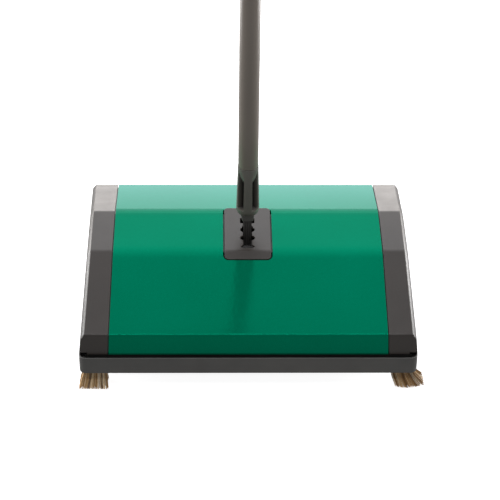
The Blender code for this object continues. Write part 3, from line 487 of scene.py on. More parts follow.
def crossing(first, second):
    (a, u), (b, v) = first, second
    offset = b - a
    return a + u * ((offset.x * v.y - offset.y * v.x) / (u.x * v.y - u.y * v.x))


def casing_height(y, inset=0.0):
    slope = (TOP_Z - LIP_Z) / (LIP_HALF_LENGTH - TOP_HALF_LENGTH)
    return TOP_Z - (abs(y) - TOP_HALF_LENGTH) * slope - inset * hypot(1, slope)


def cover_edge(z):
    return COVER_HALF_WIDTH - (z - BASE_Z) * tan(COVER_DRAFT)


def side_edge(z):
    return SIDE_HALF_WIDTH - (z - BASE_Z) * tan(SIDE_DRAFT)


# Casing pieces

PLATE_LOW, PLATE_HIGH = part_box("handle_plate")
PLATE_HALF_WIDTH = PLATE_HIGH.x
PLATE_HALF_LENGTH = PLATE_HIGH.y
PLATE_REAR_Y = 0.0366
PLATE_CORNER = 0.0040
PLATE_GAP = 0.0013


def make_cover():
    arch = casing_outline(top_radius=COVER_TOP_RADIUS)
    arch += casing_outline(COVER_THICKNESS, top_radius=COVER_TOP_RADIUS)[::-1]
    cover = finish_piece("cover_shell", loft([
        along_x(arch, lambda z: SEAM / 2 - cover_edge(z)),
        along_x(arch, lambda z: cover_edge(z) - SEAM / 2),
    ]), "green", "housing", ["top_cover"])
    plan = plate_plan(PLATE_GAP)
    cut(cover, loft([along_z(plan, LIP_Z), along_z(plan, TOP_Z + LIP_Z)]))
    add_bevel(cover, 0.0012, 4)


def make_cap(name, side, replaced):
    """An end moulding: its outer edge has a broad facet between two small roundings."""
    loops = [along_x(casing_outline(), lambda z: side * (cover_edge(z) + SEAM / 2))]
    for inset, back, lip_inset in END_FACET:
        outline = casing_outline(inset, lip_inset=lip_inset)
        loops.append(along_x(outline, lambda z, back=back: side * (side_edge(z) - back)))
    cap = finish_piece(name, loft(loops), "taupe", "housing", [replaced])
    room = casing_outline(CAP_THICKNESS, BASE_Z - CAP_THICKNESS)
    cut(cap, loft([
        along_x(room, side * (COVER_HALF_WIDTH - 3 * CAP_THICKNESS)),
        along_x(room, lambda z: side * (side_edge(z) - CAP_SIDE_THICKNESS)),
    ]))
    under = COVER_THICKNESS + TONGUE_GAP
    tongue = casing_outline(under) + casing_outline(under + TONGUE_THICKNESS)[::-1]
    cut(cap, loft([
        along_x(tongue, lambda z: side * (cover_edge(z) - TONGUE_REACH)),
        along_x(tongue, lambda z: side * (cover_edge(z) + TONGUE_REACH)),
    ]), "UNION")
    for end in (FRONT, REAR):
        wall = CASING_HALF_LENGTH - CAP_THICKNESS
        low_y, high_y = sorted((end * wall, end * (wall + 3 * CAP_THICKNESS)))
        low_x, high_x = sorted((side * FOOT_NOTCH_LOW_X, side * FOOT_NOTCH_HIGH_X))
        foot, notch_top = BASE_Z - CUT_MARGIN, BASE_Z + FOOT_NOTCH_HEIGHT
        cut(cap, block((low_x, low_y, foot), (high_x, high_y, notch_top)))
    add_bevel(cap, 0.0004)


def make_bumper():
    """A soft band with a rounded outer wall; a groove runs behind the wall's top edge."""
    low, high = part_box("bumper_band")
    thickness, wall, groove_depth = 0.0052, 0.0013, 0.0036
    corner, bottom, top = 0.0060, 0.0012, 0.0006
    section = []
    for step in range(7):
        angle = pi / 2 * step / 6
        section.append((bottom * (1 - sin(angle)), low.z + bottom * (1 - cos(angle))))
    for step in range(5):
        angle = pi / 2 * step / 4
        section.append((top * (1 - cos(angle)), high.z - top * (1 - sin(angle))))
    section += [
        (wall - 0.0003, high.z), (wall, high.z - 0.0003), (wall + 0.0003, high.z - groove_depth),
        (thickness, high.z - groove_depth), (thickness, low.z),
    ]
    loops = [
        along_z(rounded_rectangle(high.x - inset, high.y - inset, corner - inset), z)
        for inset, z in section
    ]
    finish_piece("bumper_moulding", ring_loft(loops), "bumper", "housing", ["bumper_band"])


# Handle plate

SLOT_HALF_WIDTH = 0.0042
SLOT_HALF_LENGTH = 0.0270
NOTCH_DEPTH = 0.0027
NOTCH_PITCH = 0.0137
NOTCH_FIRST_Y = -0.0250
# Each notch from front to rear: points of (distance along the slot, share of the depth)
NOTCH_SHAPES = (
    ((-0.0030, 0.0), (-0.0012, 0.70), (0.0, 1.0), (0.0012, 0.70), (0.0030, 0.0)),
    (
        (-0.0034, 0.0), (-0.0030, 0.5), (-0.0018, 0.87), (0.0, 1.0),
        (0.0018, 0.87), (0.0030, 0.5), (0.0034, 0.0),
    ),
    (
        (-0.0046, 0.0), (-0.0034, 0.55), (-0.0016, 1.0), (0.0006, 1.0),
        (0.0015, 0.5), (0.0046, 0.35), (0.0052, 0.0),
    ),
    ((-0.0042, 0.0), (-0.0038, 1.0), (0.0038, 1.0), (0.0042, 0.0)),
)


def slot_outline():
    """Half the slot's edge from front to rear, with its unlike notches, mirrored to close it."""
    edge = [Vector((SLOT_HALF_WIDTH, -SLOT_HALF_LENGTH))]
    for index, shape in enumerate(NOTCH_SHAPES):
        middle = NOTCH_FIRST_Y + index * NOTCH_PITCH
        for along, share in shape:
            y = max(middle + along, -SLOT_HALF_LENGTH)
            edge.append(Vector((SLOT_HALF_WIDTH + NOTCH_DEPTH * share, y)))
    edge.append(Vector((SLOT_HALF_WIDTH, SLOT_HALF_LENGTH)))
    clean = [edge[0]]
    for point in edge[1:]:
        if (point - clean[-1]).length > 0.00005:
            clean.append(point)
    return clean + [Vector((-p.x, p.y)) for p in reversed(clean)]


def plate_strip(inset):
    """The plate's side view: it follows the front slope, but stays level to its rear end."""
    reach = PLATE_HALF_LENGTH * 1.2
    front = [p for p in casing_outline(inset) if -reach < p.x < 0]
    return [Vector((-reach, casing_height(reach, inset)))] + front + [Vector((reach, TOP_Z - inset))]


def plate_plan(grown=0.0):
    middle = (PLATE_REAR_Y - PLATE_HALF_LENGTH) / 2
    half = (PLATE_REAR_Y + PLATE_HALF_LENGTH) / 2
    plan = rounded_rectangle(PLATE_HALF_WIDTH + grown, half + grown, PLATE_CORNER + grown)
    return [p + Vector((0.0, middle)) for p in plan]


def make_plate():
    recess = 0.0002
    thickness = 0.0024
    strip = plate_strip(recess) + plate_strip(recess + thickness)[::-1]
    reach = PLATE_HALF_WIDTH * 1.5
    plate = finish_piece(
        "handle_plate_moulding", loft([along_x(strip, -reach), along_x(strip, reach)]),
        "taupe", "housing", ["handle_plate"],
    )
    plan = plate_plan()
    cut(plate, loft([along_z(plan, LIP_Z), along_z(plan, TOP_Z + LIP_Z)]), "INTERSECT")
    outline = slot_outline()
    cut(plate, loft([along_z(outline, LIP_Z), along_z(outline, TOP_Z + LIP_Z)]))
    add_bevel(plate, 0.00035, 2)


# Handle

SOCKET_LOW, SOCKET_HIGH = (corner.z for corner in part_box("handle_socket"))
TUBE_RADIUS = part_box("handle_tube_lower")[1].x
YOKE_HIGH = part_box("handle_yoke")[1].z
SHANK_HALF_WIDTH = 0.0038
SHANK_HALF_DEPTH = 0.0045
SKIRT = 0.0032
PLUG_GAP = 0.0003
ROUND_STEPS = 96


def fluted_loop(z, outer, floor, slant=0.0):
    """A loop with four ridges and four flutes; the flutes' outer sides can be less deep."""
    start, end, flank = radians(24), radians(64), radians(2.5)
    points = []
    for step in range(ROUND_STEPS):
        angle = 2 * pi * step / ROUND_STEPS
        off = abs((angle + pi / 2) % pi - pi / 2)
        inside = min(off - start, end - off) / flank
        share = min(1.0, max(0.0, inside))
        lean = slant * min(1.0, max(0.0, (end - off) / (end - start)))
        radius = outer - (outer - floor) * share * (1 - lean)
        points.append(Vector((radius * sin(angle), -radius * cos(angle), z)))
    return points


def make_socket():
    """A socket with four ridges, whose flutes run out in slanted tops below the tube.

    Its rounded foot ends in a skirt that reaches below the CAD socket, round the shank's neck.
    """
    foot, collar, top = 0.0072, 0.0110, 0.0098
    floor = 0.0054
    bore, skirt_bore = 0.0045, 0.0064
    # How much painted shade darkens the flute floors
    painted_flute_shade = 0.90
    tube_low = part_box("handle_tube_lower")[0].z
    shoulder = tube_low - PLUG_GAP
    rounding = 0.0062
    flute_low = SOCKET_LOW + 0.0045
    flute_fade, flute_high = 0.1475, 0.1630
    spigot = TUBE_RADIUS - 0.0013

    def outer(z):
        return collar + (top - collar) * (z - flute_low) / (shoulder - flute_low)

    base = SOCKET_LOW - SKIRT
    loops = [
        fluted_loop(z, radius, radius) for z, radius in (
            (YOKE_HIGH + PLUG_GAP, bore), (SOCKET_LOW, bore),
            (SOCKET_LOW, skirt_bore), (base, skirt_bore),
        )
    ]
    for step in range(11):
        angle = pi / 2 * step / 10
        radius = foot + (collar - foot) * sin(angle)
        loops.append(fluted_loop(base + rounding * (1 - cos(angle)), radius, radius))
    for rise, share in ((0.0, 0.0), (0.0003, 0.35), (0.0008, 0.8), (0.0016, 1.0)):
        z = flute_low + rise
        loops.append(fluted_loop(z, outer(z), outer(z) + (floor - outer(z)) * share))
    levels = 16
    for level in range(levels + 1):
        t = level / levels
        z = flute_fade + (flute_high - flute_fade) * t
        depth = (1 - t) ** 1.3
        slant = min(0.97, 1.6 * t)
        loops.append(fluted_loop(z, outer(z), outer(z) - (outer(z) - floor) * depth, slant))
    edge = 0.00012
    for z, radius in (
        (shoulder - edge, top), (shoulder, top - edge), (shoulder, spigot), (SOCKET_HIGH, spigot)
    ):
        loops.append(fluted_loop(z, radius, radius))
    moulding = loft(loops)
    # Painted shade: each vertex gets darker the deeper it lies in a flute, down to about a tenth of the
    # colour
    tone = moulding.verts.layers.float_color.new("tone")
    for vertex in moulding.verts:
        depth = outer(vertex.co.z) - hypot(vertex.co.x, vertex.co.y)
        shade = 1.0 - painted_flute_shade * min(1.0, max(0.0, depth / (collar - floor)))
        vertex[tone] = (shade, shade, shade, 1.0)
    finish_piece(
        "handle_socket_moulding", moulding, "socket", "handle", ["handle_socket"], sharp=38
    )


def make_neck():
    """A tapered collar round the top of the shank, just below the socket."""
    gap = 0.0002
    top = SOCKET_LOW - SKIRT - gap
    collar = finish_piece("shank_neck_collar", loft([
        along_z(rounded_rectangle(0.0052, 0.0050, 0.0010), top - 0.0075),
        along_z(rounded_rectangle(0.0064, 0.0054, 0.0012), top - 0.0015),
        along_z(rounded_rectangle(0.0062, 0.0052, 0.0012), top),
    ]), "neck", "handle")
    width, depth = SHANK_HALF_WIDTH + gap, SHANK_HALF_DEPTH + gap
    cut(collar, block((-width, -depth, top - 0.02), (width, depth, top + 0.02)))


def make_yoke_finish():
    """The shank's ribs get fine rounded edges."""
    restyle("handle_yoke", "shank", 0.00022)


def make_tubes():
    """Drawn tubes with rolled ends; each necked top end plugs into the next tube."""
    rolled = 0.00015
    wall = 0.0010
    necked_length = 0.0280
    for name in ("lower", "middle", "upper"):
        node = "handle_tube_" + name
        low, high = (corner.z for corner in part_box(node))
        bore = TUBE_RADIUS - wall
        if name == "upper":
            shoulder = high
            top = [(bore, high)]
        else:
            shoulder = high - necked_length
            spigot = bore - PLUG_GAP
            top = [
                (spigot, shoulder), (spigot, high - rolled), (spigot - rolled, high),
                (spigot - wall, high), (spigot - wall, shoulder - 4 * wall),
                (bore, shoulder - 6 * wall),
            ]
        profile = [(bore, low), (TUBE_RADIUS - rolled, low)]
        for step in range(1, 5):
            angle = pi / 2 * step / 4
            profile.append((
                TUBE_RADIUS - rolled * (1 - sin(angle)), low + rolled * (1 - cos(angle)),
            ))
        for step in range(5):
            angle = pi / 2 * step / 4
            profile.append((
                TUBE_RADIUS - rolled * (1 - cos(angle)), shoulder - rolled * (1 - sin(angle)),
            ))
        finish_piece(node + "_drawn", turned_z(profile + top, ROUND_STEPS), "tube", "handle", [node])


def eased(keys, steps):
    """Points between (height, radius) keys, with level tangents at every key."""
    points = [keys[0]]
    for (z0, r0), (z1, r1) in zip(keys, keys[1:]):
        for step in range(1, steps + 1):
            t = step / steps
            points.append((z0 + (z1 - z0) * t, r0 + (r1 - r0) * t * t * (3 - 2 * t)))
    return points


def make_grip():
    """A turned grip with shallow finger rings, a rounded head and a hole to hang it by."""
    low, high = (corner.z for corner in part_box("handle_grip"))
    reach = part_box("handle_grip")[1].x
    waist = 0.0113
    bore = TUBE_RADIUS + PLUG_GAP
    length = high - low
    tube_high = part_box("handle_tube_upper")[1].z
    profile = [(bore, tube_high + PLUG_GAP), (bore, low + 0.0004), (bore + 0.0004, low)]
    rings, ring_depth, rings_start, rings_end = 12, 0.00045, 0.12, 0.60
    head_start, head_steps = 0.84, 15
    keys = [
        (low, waist - 0.0006), (low + 0.0012, waist), (low + 0.03 * length, 0.0124),
        (low + 0.30 * length, waist), (low + 0.62 * length, waist),
        (low + head_start * length, reach),
    ]
    for z, radius in eased(keys, 24):
        share = (z - low) / length
        if rings_start < share < rings_end:
            wave = sin(pi * rings * (share - rings_start) / (rings_end - rings_start)) ** 2
            radius -= ring_depth * wave
        profile.append((radius, z))
    head = low + head_start * length
    for step in range(1, head_steps):
        angle = pi / 2 * step / head_steps
        profile.append((reach * cos(angle) ** 0.9, head + (high - head) * sin(angle)))
    profile.append((0.0010, high))
    grip = finish_piece(
        "handle_grip_moulding", turned_z(profile, ROUND_STEPS, False), "taupe", "handle",
        ["handle_grip"],
    )
    hole_z = high - 0.0170
    hole_radius, hole_flare = 0.0045, 0.0018
    hole = [
        (hole_radius + hole_flare * share ** 2, reach * 1.05 * share)
        for share in (-1, -0.8, -0.6, 0, 0.6, 0.8, 1)
    ]
    cut(grip, turned_x(hole, (0.0, hole_z), 48, False))
    add_bevel(grip, 0.0004, 2)


# Bristles

BRISTLE_TONES = (
    (140, 102, 56), (166, 126, 74), (190, 150, 98), (214, 178, 128), (232, 206, 164),
    (236, 218, 190), (116, 82, 42),
)

# Each corner tuft's outward and inward sweep, how far its outer tips rise, and its raggedness
TUFT_SWEEPS = {
    "front_left": (0.0042, 0.0011, 0.0006, 0.0),
    "front_right": (0.0085, 0.0044, 0.0048, 0.0046),
    "rear_left": (0.0045, 0.0012, 0.0014, 0.0010),
    "rear_right": (0.0050, 0.0014, 0.0018, 0.0012),
}
TUFT_BUNDLES, TUFT_ROWS, BRISTLES_PER_BUNDLE = 11, 3, 30
TUFT_SHIFT = 0.0012
TUFT_SPLAY, TUFT_SPREAD = 0.0058, 0.0046
TUFT_THICK, TUFT_THIN = 0.00024, 0.00021
ROLL_ROWS, ROLL_TUFTS, BRISTLES_PER_TUFT = 4, 56, 13
ROLL_THICK, ROLL_THIN = 0.00020, 0.00015


class Bristles:
    """Gathers tapered, bent bristles of many tones into one mesh."""

    def __init__(self, seed):
        self.builder = bmesh.new()
        self.tone = self.builder.verts.layers.float_color.new("tone")
        self.random = random.Random(seed)

    def pick_tone(self):
        return linear(*self.random.choice(BRISTLE_TONES))

    def add(self, points, thick, thin, colour, sides=4):
        shade = self.random.uniform(0.82, 1.16)
        colour = (*(channel * shade for channel in colour[:3]), 1.0)
        rings = []
        for index, point in enumerate(points):
            before = points[max(index - 1, 0)]
            after = points[min(index + 1, len(points) - 1)]
            frame_turn = (after - before).to_track_quat("Z", "Y")
            radius = thick + (thin - thick) * index / (len(points) - 1)
            ring = []
            for side in range(sides):
                angle = 2 * pi * side / sides
                vert = self.builder.verts.new(
                    point + frame_turn @ Vector((radius * cos(angle), radius * sin(angle), 0.0))
                )
                vert[self.tone] = colour
                ring.append(vert)
            rings.append(ring)
        for ring, following in zip(rings, rings[1:]):
            bridge(self.builder, ring, following)
        self.builder.faces.new(rings[0][::-1])
        self.builder.faces.new(rings[-1])

    def finish(self, name, body, replaced):
        return finish_piece(name, self.builder, "bristle", body, replaced, sharp=80)


def make_corner_tufts():
    """Four tufts of loose bristles, set in small bundles; each tuft has its own sweep."""
    for index, (corner, (side, end)) in enumerate(CORNERS.items()):
        low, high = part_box("corner_brush_holder_" + corner)
        tuft_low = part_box("corner_brush_" + corner)[0].z
        middle = (low + high) / 2
        half_x = (high.x - low.x) / 2 - 0.0016
        half_y = (high.y - low.y) / 2 - 0.0010
        outer_sweep, inner_sweep, lift, ragged = TUFT_SWEEPS[corner]
        tuft = Bristles(41 + index)
        for bundle in range(TUFT_BUNDLES):
            for row in range(TUFT_ROWS):
                across = 2 * (bundle + 0.5) / TUFT_BUNDLES - 1
                deep = 2 * (row + 0.5) / TUFT_ROWS - 1
                tone = tuft.pick_tone()
                lean = tuft.random.gauss(0, 0.0004)
                for _ in range(BRISTLES_PER_BUNDLE):
                    u = across + tuft.random.uniform(-1, 1) / TUFT_BUNDLES
                    v = deep + tuft.random.uniform(-1, 1) / TUFT_ROWS
                    own = tone if tuft.random.random() < 0.7 else tuft.pick_tone()
                    outward = side * u
                    share = (outward + 1) / 2
                    sweep = (
                        side * (outer_sweep * share ** 1.3 - (0.0016 - ragged * 0.6) * (1 - share) ** 2)
                        + side * inner_sweep * 0.5 * (1 if lift > 0.002 else 0)
                        + lean
                    )
                    rise = lift * share ** 2.2 + ragged * max(0.0, 0.45 - share) * 1.7
                    rise += abs(tuft.random.gauss(0, 0.0003))
                    root = Vector((
                        middle.x + side * TUFT_SHIFT + half_x * u, middle.y + half_y * v, low.z + 0.0008,
                    ))
                    tip_z = tuft_low + rise
                    splay_y = end * TUFT_SPLAY + TUFT_SPREAD * v
                    points = []
                    for step in range(5):
                        t = step / 4
                        bend = t ** 1.5
                        points.append(Vector((
                            root.x + sweep * bend + 0.0002 * sin(9 * t + 7 * u),
                            root.y + splay_y * bend,
                            root.z + (tip_z - root.z) * t,
                        )))
                    tuft.add(points, TUFT_THICK, TUFT_THIN, own)
        tuft.finish("corner_tuft_" + corner, "housing", ["corner_brush_" + corner])


def make_roll_bristles():
    """Four helical rows of small tufts set in the roll's wooden core."""
    low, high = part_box("brush_bristles")
    core_low, core_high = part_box("brush_core")
    centre = (core_low + core_high) / 2
    core_radius = (core_high.y - core_low.y) / 2
    tip_radius = (high.z - low.z) / 2 - 0.0001
    roll = Bristles(77)
    for row in range(ROLL_ROWS):
        for tuft in range(ROLL_TUFTS):
            t = (tuft + 0.5) / ROLL_TUFTS
            middle_x = low.x + 0.002 + (high.x - low.x - 0.004) * t
            middle_angle = 2 * pi * row / ROLL_ROWS + pi * t
            for _ in range(BRISTLES_PER_TUFT):
                spread = roll.random.gauss(0, 1)
                slide = roll.random.gauss(0, 1)
                angle_root = middle_angle + 0.05 * spread
                angle_tip = middle_angle + 0.055 * spread
                length = tip_radius * (1 - abs(roll.random.gauss(0, 0.008)))
                points = []
                for step in range(4):
                    share = step / 3
                    radius = core_radius - 0.0012 + (length - core_radius + 0.0012) * share
                    angle = angle_root + (angle_tip - angle_root) * share
                    x = middle_x + slide * (0.0004 + 0.0009 * share)
                    x = min(max(x, low.x + 0.0003), high.x - 0.0003)
                    points.append(Vector((
                        x, centre.y + radius * cos(angle), centre.z + radius * sin(angle),
                    )))
                roll.add(points, ROLL_THICK, ROLL_THIN, roll.pick_tone(), 3)
    roll.finish("brush_roll_bristles", "brush_roll", ["brush_bristles"])


# Running gear

def toothed(profile, centre, teeth, groove_depth):
    """A ring turned about x with grooves across it; each point is (radius, x, groove's share)."""
    per_tooth = 6
    loops = []
    for radius, x, share in profile:
        loop = []
        for step in range(teeth * per_tooth):
            angle = 2 * pi * step / (teeth * per_tooth)
            groove = groove_depth * share * (step % per_tooth in (0, 1))
            loop.append(Vector((
                x, centre[0] + (radius - groove) * cos(angle), centre[1] + (radius - groove) * sin(angle),
            )))
        loops.append(loop)
    return ring_loft(loops)


def make_wheels():
    """Treaded tyres on spoked hubs."""
    for corner in CORNERS:
        body = "wheel_" + corner
        low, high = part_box("wheel_tyre_" + corner)
        centre = ((low.y + high.y) / 2, (low.z + high.z) / 2)
        radius = (high.z - low.z) / 2
        middle = (low.x + high.x) / 2
        half = (high.x - low.x) / 2
        inner = 0.0228
        profile = [
            (inner, -half, 0.0), (radius - 0.0014, -half, 0.0), (radius - 0.0004, -half + 0.0010, 0.6),
            (radius, -half + 0.0022, 1.0), (radius, -0.0009, 1.0), (radius - 0.0009, -0.0005, 0.0),
            (radius - 0.0009, 0.0005, 0.0), (radius, 0.0009, 1.0), (radius, half - 0.0022, 1.0),
            (radius - 0.0004, half - 0.0010, 0.6), (radius - 0.0014, half, 0.0), (inner, half, 0.0),
        ]
        placed = [(base, middle + offset, share) for base, offset, share in profile]
        finish_piece(
            "tyre_tread_" + corner, toothed(placed, centre, 36, 0.0007), "rubber", body,
            ["wheel_tyre_" + corner], sharp=28,
        )
        make_hub(corner, centre, middle, body)


def make_hub(corner, centre, middle, body):
    """A moulded hub with a rim, a boss and a web that six round openings pierce."""
    rim, rim_bore, boss, bore = 0.0225, 0.0198, 0.0062, 0.0033
    rim_half, web_half, boss_half = 0.0052, 0.0014, 0.0080
    edge = 0.0004
    half_profile = [
        (bore, boss_half), (boss - edge, boss_half), (boss, boss_half - edge), (boss, web_half + 0.0010),
        (boss + 0.0010, web_half), (rim_bore - 0.0010, web_half), (rim_bore, web_half + 0.0010),
        (rim_bore, rim_half - edge), (rim_bore + edge, rim_half), (rim - edge, rim_half),
        (rim, rim_half - edge),
    ]
    profile = [(r, middle + x) for r, x in half_profile]
    profile += [(r, middle - x) for r, x in reversed(half_profile)]
    hub = finish_piece(
        "spoked_hub_" + corner, turned_x(profile, centre, 72), "hub", body, ["wheel_hub_" + corner]
    )
    openings, pitch_radius, opening_radius = 6, 0.0134, 0.0042
    for opening in range(openings):
        angle = 2 * pi * (opening + 0.5) / openings
        spot = (centre[0] + pitch_radius * cos(angle), centre[1] + pitch_radius * sin(angle))
        tool = [(opening_radius, middle - 2 * web_half), (opening_radius, middle + 2 * web_half)]
        cut(hub, turned_x(tool, spot, 24, False))
    add_bevel(hub, 0.00025, 2)


def make_drums():
    """Rubber drive drums with a knurled tread."""
    for name in ("left", "right"):
        node = "drive_drum_" + name
        low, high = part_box(node)
        centre = ((low.y + high.y) / 2, (low.z + high.z) / 2)
        radius = (high.z - low.z) / 2
        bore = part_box("brush_axle")[1].z - centre[1] + 0.0003
        edge = 0.0012
        profile = [
            (bore, low.x, 0.0), (radius - edge, low.x, 0.0), (radius, low.x + edge, 1.0),
            (radius, high.x - edge, 1.0), (radius - edge, high.x, 0.0), (bore, high.x, 0.0),
        ]
        moulding = toothed(profile, centre, 30, 0.0006)
        finish_piece(node + "_knurled", moulding, "rubber", "brush_roll", [node], sharp=28)


def make_screws():
    """Round-headed screws with a cross recess, seen from below."""
    for corner in CORNERS:
        node = "casing_screw_" + corner
        low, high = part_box(node)
        x, y = (low.x + high.x) / 2, (low.y + high.y) / 2
        head, shaft = (high.x - low.x) / 2, 0.0016
        head_top = low.z + 0.0028
        profile = [
            (head * 0.35, low.z), (head * 0.72, low.z + 0.0002), (head * 0.92, low.z + 0.0006),
            (head, low.z + 0.0012), (head, head_top), (shaft, head_top),
        ]
        pitch, z = 0.0011, head_top
        while z < high.z - 2 * pitch:
            profile += [(shaft - 0.0003, z + pitch * 0.3), (shaft, z + pitch * 0.6)]
            z += pitch
        profile.append((shaft / 3, high.z))
        loops = [along_z(circle(radius, 32, (x, y)), height) for radius, height in profile]
        screw = finish_piece(node + "_turned", loft(loops), "steel", "housing", [node])
        arm, half = head * 0.55, 0.00045
        recess_low, recess_high = low.z - CUT_MARGIN, low.z + 0.0013
        for half_x, half_y in ((arm, half), (half, arm)):
            cut(screw, block(
                (x - half_x, y - half_y, recess_low), (x + half_x, y + half_y, recess_high)
            ))


# CAD nodes kept as they are, with fine edges and finished materials

def restyle(node, look, bevel=0.0):
    """Give a CAD node a material and, where a width is given, rounded edges."""
    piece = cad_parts[node]
    piece.data.materials.clear()
    piece.data.materials.append(MATERIALS[look])
    if bevel:
        add_bevel(piece, bevel, 2)


def restyle_rest():
    for node in ("handle_bracket", "chassis_frame"):
        restyle(node, "black", 0.0004)
    for node in ("dirt_pan_front", "dirt_pan_rear"):
        restyle(node, "black", 0.0005)
    for node in ("handle_pin", "detent_spring", "brush_axle"):
        restyle(node, "steel", 0.0002)
    restyle("brush_core", "wood", 0.0004)
    for side in ("left", "right"):
        restyle("brush_bush_" + side, "hub", 0.0002)
    for corner in CORNERS:
        restyle("corner_brush_holder_" + corner, "black", 0.0005)
        restyle("wheel_axle_" + corner, "steel", 0.0002)
    for end in ("front", "rear"):
        restyle(f"dirt_pan_{end}_rod", "steel")
        restyle(f"dirt_pan_{end}_spring", "steel")


# Stage

WARM = (1.0, 0.95, 0.91)
COOL = (0.92, 0.93, 0.96)
WHITE = (1.0, 1.0, 1.0)

# The world: its strength all round, and its glow high behind the object
AMBIENT_STRENGTH = 0.34
GLOW_STRENGTH = 1.9
GLOW_FOCUS = 4.0
GLOW_ELEVATION = radians(40)

# Strips of light low behind the object: height, size and power
REAR_SWEEP_Y = 0.45
REAR_SWEEPS = ((0.035, 0.10, 1.65), (0.125, 0.08, 0.60), (0.215, 0.10, 0.45))

# Softbox and strip power on each side
SIDE_POWERS = ((LEFT, 13, 2.2), (RIGHT, 10, 2.8))

# The camera, fitted to the object's proportions; lens and sensor in millimetres
LENS, SENSOR_WIDTH = 139.536, 36.0
CAMERA_YAW, CAMERA_PITCH, CAMERA_ROLL = radians(1.301), radians(37.766), radians(0.795)
CAMERA_LOCATION = (-0.0310, -1.4869, 1.2173)


def stage_plane(name, height, glow, diffuse):
    """A wide matt plane that gives off its own even light."""
    builder = bmesh.new()
    bmesh.ops.create_grid(builder, x_segments=1, y_segments=1, size=8.0)
    mesh = bpy.data.meshes.new(name)
    builder.to_mesh(mesh)
    builder.free()
    plane = bpy.data.objects.new(name, mesh)
    plane.location.z = height
    bpy.context.collection.objects.link(plane)
    paint = bpy.data.materials.new(name)
    paint.use_nodes = True
    shader = paint.node_tree.nodes["Principled BSDF"]
    shader.inputs["Base Color"].default_value = (diffuse, diffuse, diffuse, 1)
    shader.inputs["Roughness"].default_value = 1.0
    shader.inputs["Specular IOR Level"].default_value = 0.0
    shader.inputs["Emission Color"].default_value = (1, 1, 1, 1)
    shader.inputs["Emission Strength"].default_value = glow
    mesh.materials.append(paint)
    return plane, paint


def make_stage():
    """A pale floor, and the table's bounce, which is brighter behind the object than before it."""
    floor, _ = stage_plane("floor", 0.0, 0.90, 0.60)
    floor.visible_diffuse = False
    floor.visible_glossy = False
    bounce, paint = stage_plane("table_bounce", -0.0005, 1.0, 0.0)
    bounce.visible_camera = False
    bounce.visible_shadow = False
    tree = paint.node_tree
    coordinates = tree.nodes.new("ShaderNodeTexCoord")
    axes = tree.nodes.new("ShaderNodeSeparateXYZ")
    ramp = tree.nodes.new("ShaderNodeMapRange")
    ramp.interpolation_type = "SMOOTHSTEP"
    for name, value in (("From Min", 0.05), ("From Max", 0.50), ("To Min", 0.52), ("To Max", 0.85)):
        ramp.inputs[name].default_value = value
    shader = tree.nodes["Principled BSDF"]
    tree.links.new(coordinates.outputs["Object"], axes.inputs["Vector"])
    tree.links.new(axes.outputs["Y"], ramp.inputs["Value"])
    tree.links.new(ramp.outputs["Result"], shader.inputs["Emission Strength"])


def area_light(name, location, target, size, power, colour=WHITE):
    data = bpy.data.lights.new(name, "AREA")
    data.shape = "RECTANGLE"
    data.size, data.size_y = size
    data.energy = power
    data.color = colour
    lamp = bpy.data.objects.new(name, data)
    lamp.location = location
    lamp.rotation_mode = "QUATERNION"
    lamp.rotation_quaternion = (Vector(target) - Vector(location)).to_track_quat("-Z", "Y")
    lamp.visible_camera = False
    bpy.context.collection.objects.link(lamp)


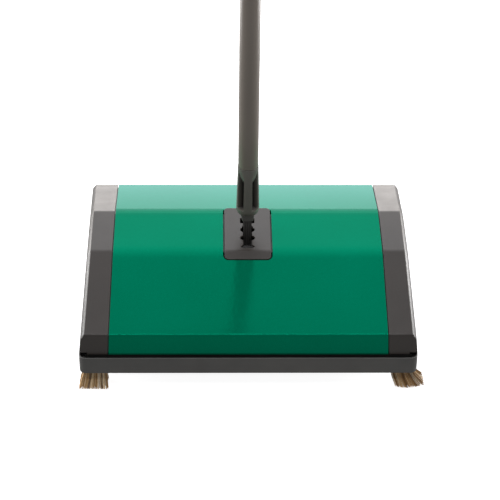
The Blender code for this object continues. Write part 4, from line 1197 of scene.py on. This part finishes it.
def make_light():
    """A pale studio with a soft glow high behind the object, strips of light and softboxes."""
    world = bpy.data.worlds.new("studio")
    world.use_nodes = True
    tree = world.node_tree
    background = tree.nodes["Background"]
    background.inputs["Color"].default_value = (*COOL, 1)
    coordinates = tree.nodes.new("ShaderNodeTexCoord")
    towards = tree.nodes.new("ShaderNodeVectorMath")
    towards.operation = "DOT_PRODUCT"
    towards.inputs[1].default_value = (0.0, cos(GLOW_ELEVATION), sin(GLOW_ELEVATION))
    tree.links.new(coordinates.outputs["Generated"], towards.inputs[0])
    source = towards.outputs["Value"]
    for operation, values in (
        ("MAXIMUM", (0.0,)), ("POWER", (GLOW_FOCUS,)), ("MULTIPLY_ADD", (GLOW_STRENGTH, AMBIENT_STRENGTH))
    ):
        node = tree.nodes.new("ShaderNodeMath")
        node.operation = operation
        for index, value in enumerate(values):
            node.inputs[index + 1].default_value = value
        tree.links.new(source, node.inputs[0])
        source = node.outputs["Value"]
    tree.links.new(source, background.inputs["Strength"])
    bpy.context.scene.world = world
    for height, size, power in REAR_SWEEPS:
        area_light("rear_sweep", (0, REAR_SWEEP_Y, height), (0, 0, 0.07), (1.6, size), power, WARM)
    area_light("front_top", (0, -0.55, 1.35), (0, 0, 0.08), (1.4, 0.15), 5.5, COOL)
    for side, soft, strip in SIDE_POWERS:
        area_light("side_softbox", (side * 1.3, 0.25, 1.0), (0, 0, 0.05), (1.0, 1.2), soft)
        beside, at_edge = (side * 0.60, 0.22, 0.08), (side * 0.15, 0, 0.07)
        area_light("side_strip", beside, at_edge, (0.42, 0.20), strip)


def make_camera():
    data = bpy.data.cameras.new("camera")
    data.sensor_width = SENSOR_WIDTH
    data.lens = LENS
    data.clip_start = 0.05
    data.clip_end = 50
    camera = bpy.data.objects.new("camera", data)
    camera.location = CAMERA_LOCATION
    camera.rotation_mode = "QUATERNION"
    turn = Matrix.Rotation(-CAMERA_YAW, 3, "Z") @ Matrix.Rotation(pi / 2 - CAMERA_PITCH, 3, "X")
    camera.rotation_quaternion = (turn @ Matrix.Rotation(CAMERA_ROLL, 3, "Z")).to_quaternion()
    bpy.context.collection.objects.link(camera)
    bpy.context.scene.camera = camera
    bpy.context.scene.view_settings.view_transform = "Standard"


make_camera()
make_stage()
make_light()
make_cover()
make_cap("cap_left", LEFT, "end_cap_left")
make_cap("cap_right", RIGHT, "end_cap_right")
make_bumper()
make_plate()
make_yoke_finish()
make_neck()
make_socket()
make_tubes()
make_grip()
make_corner_tufts()
make_roll_bristles()
make_wheels()
make_drums()
make_screws()
restyle_rest()
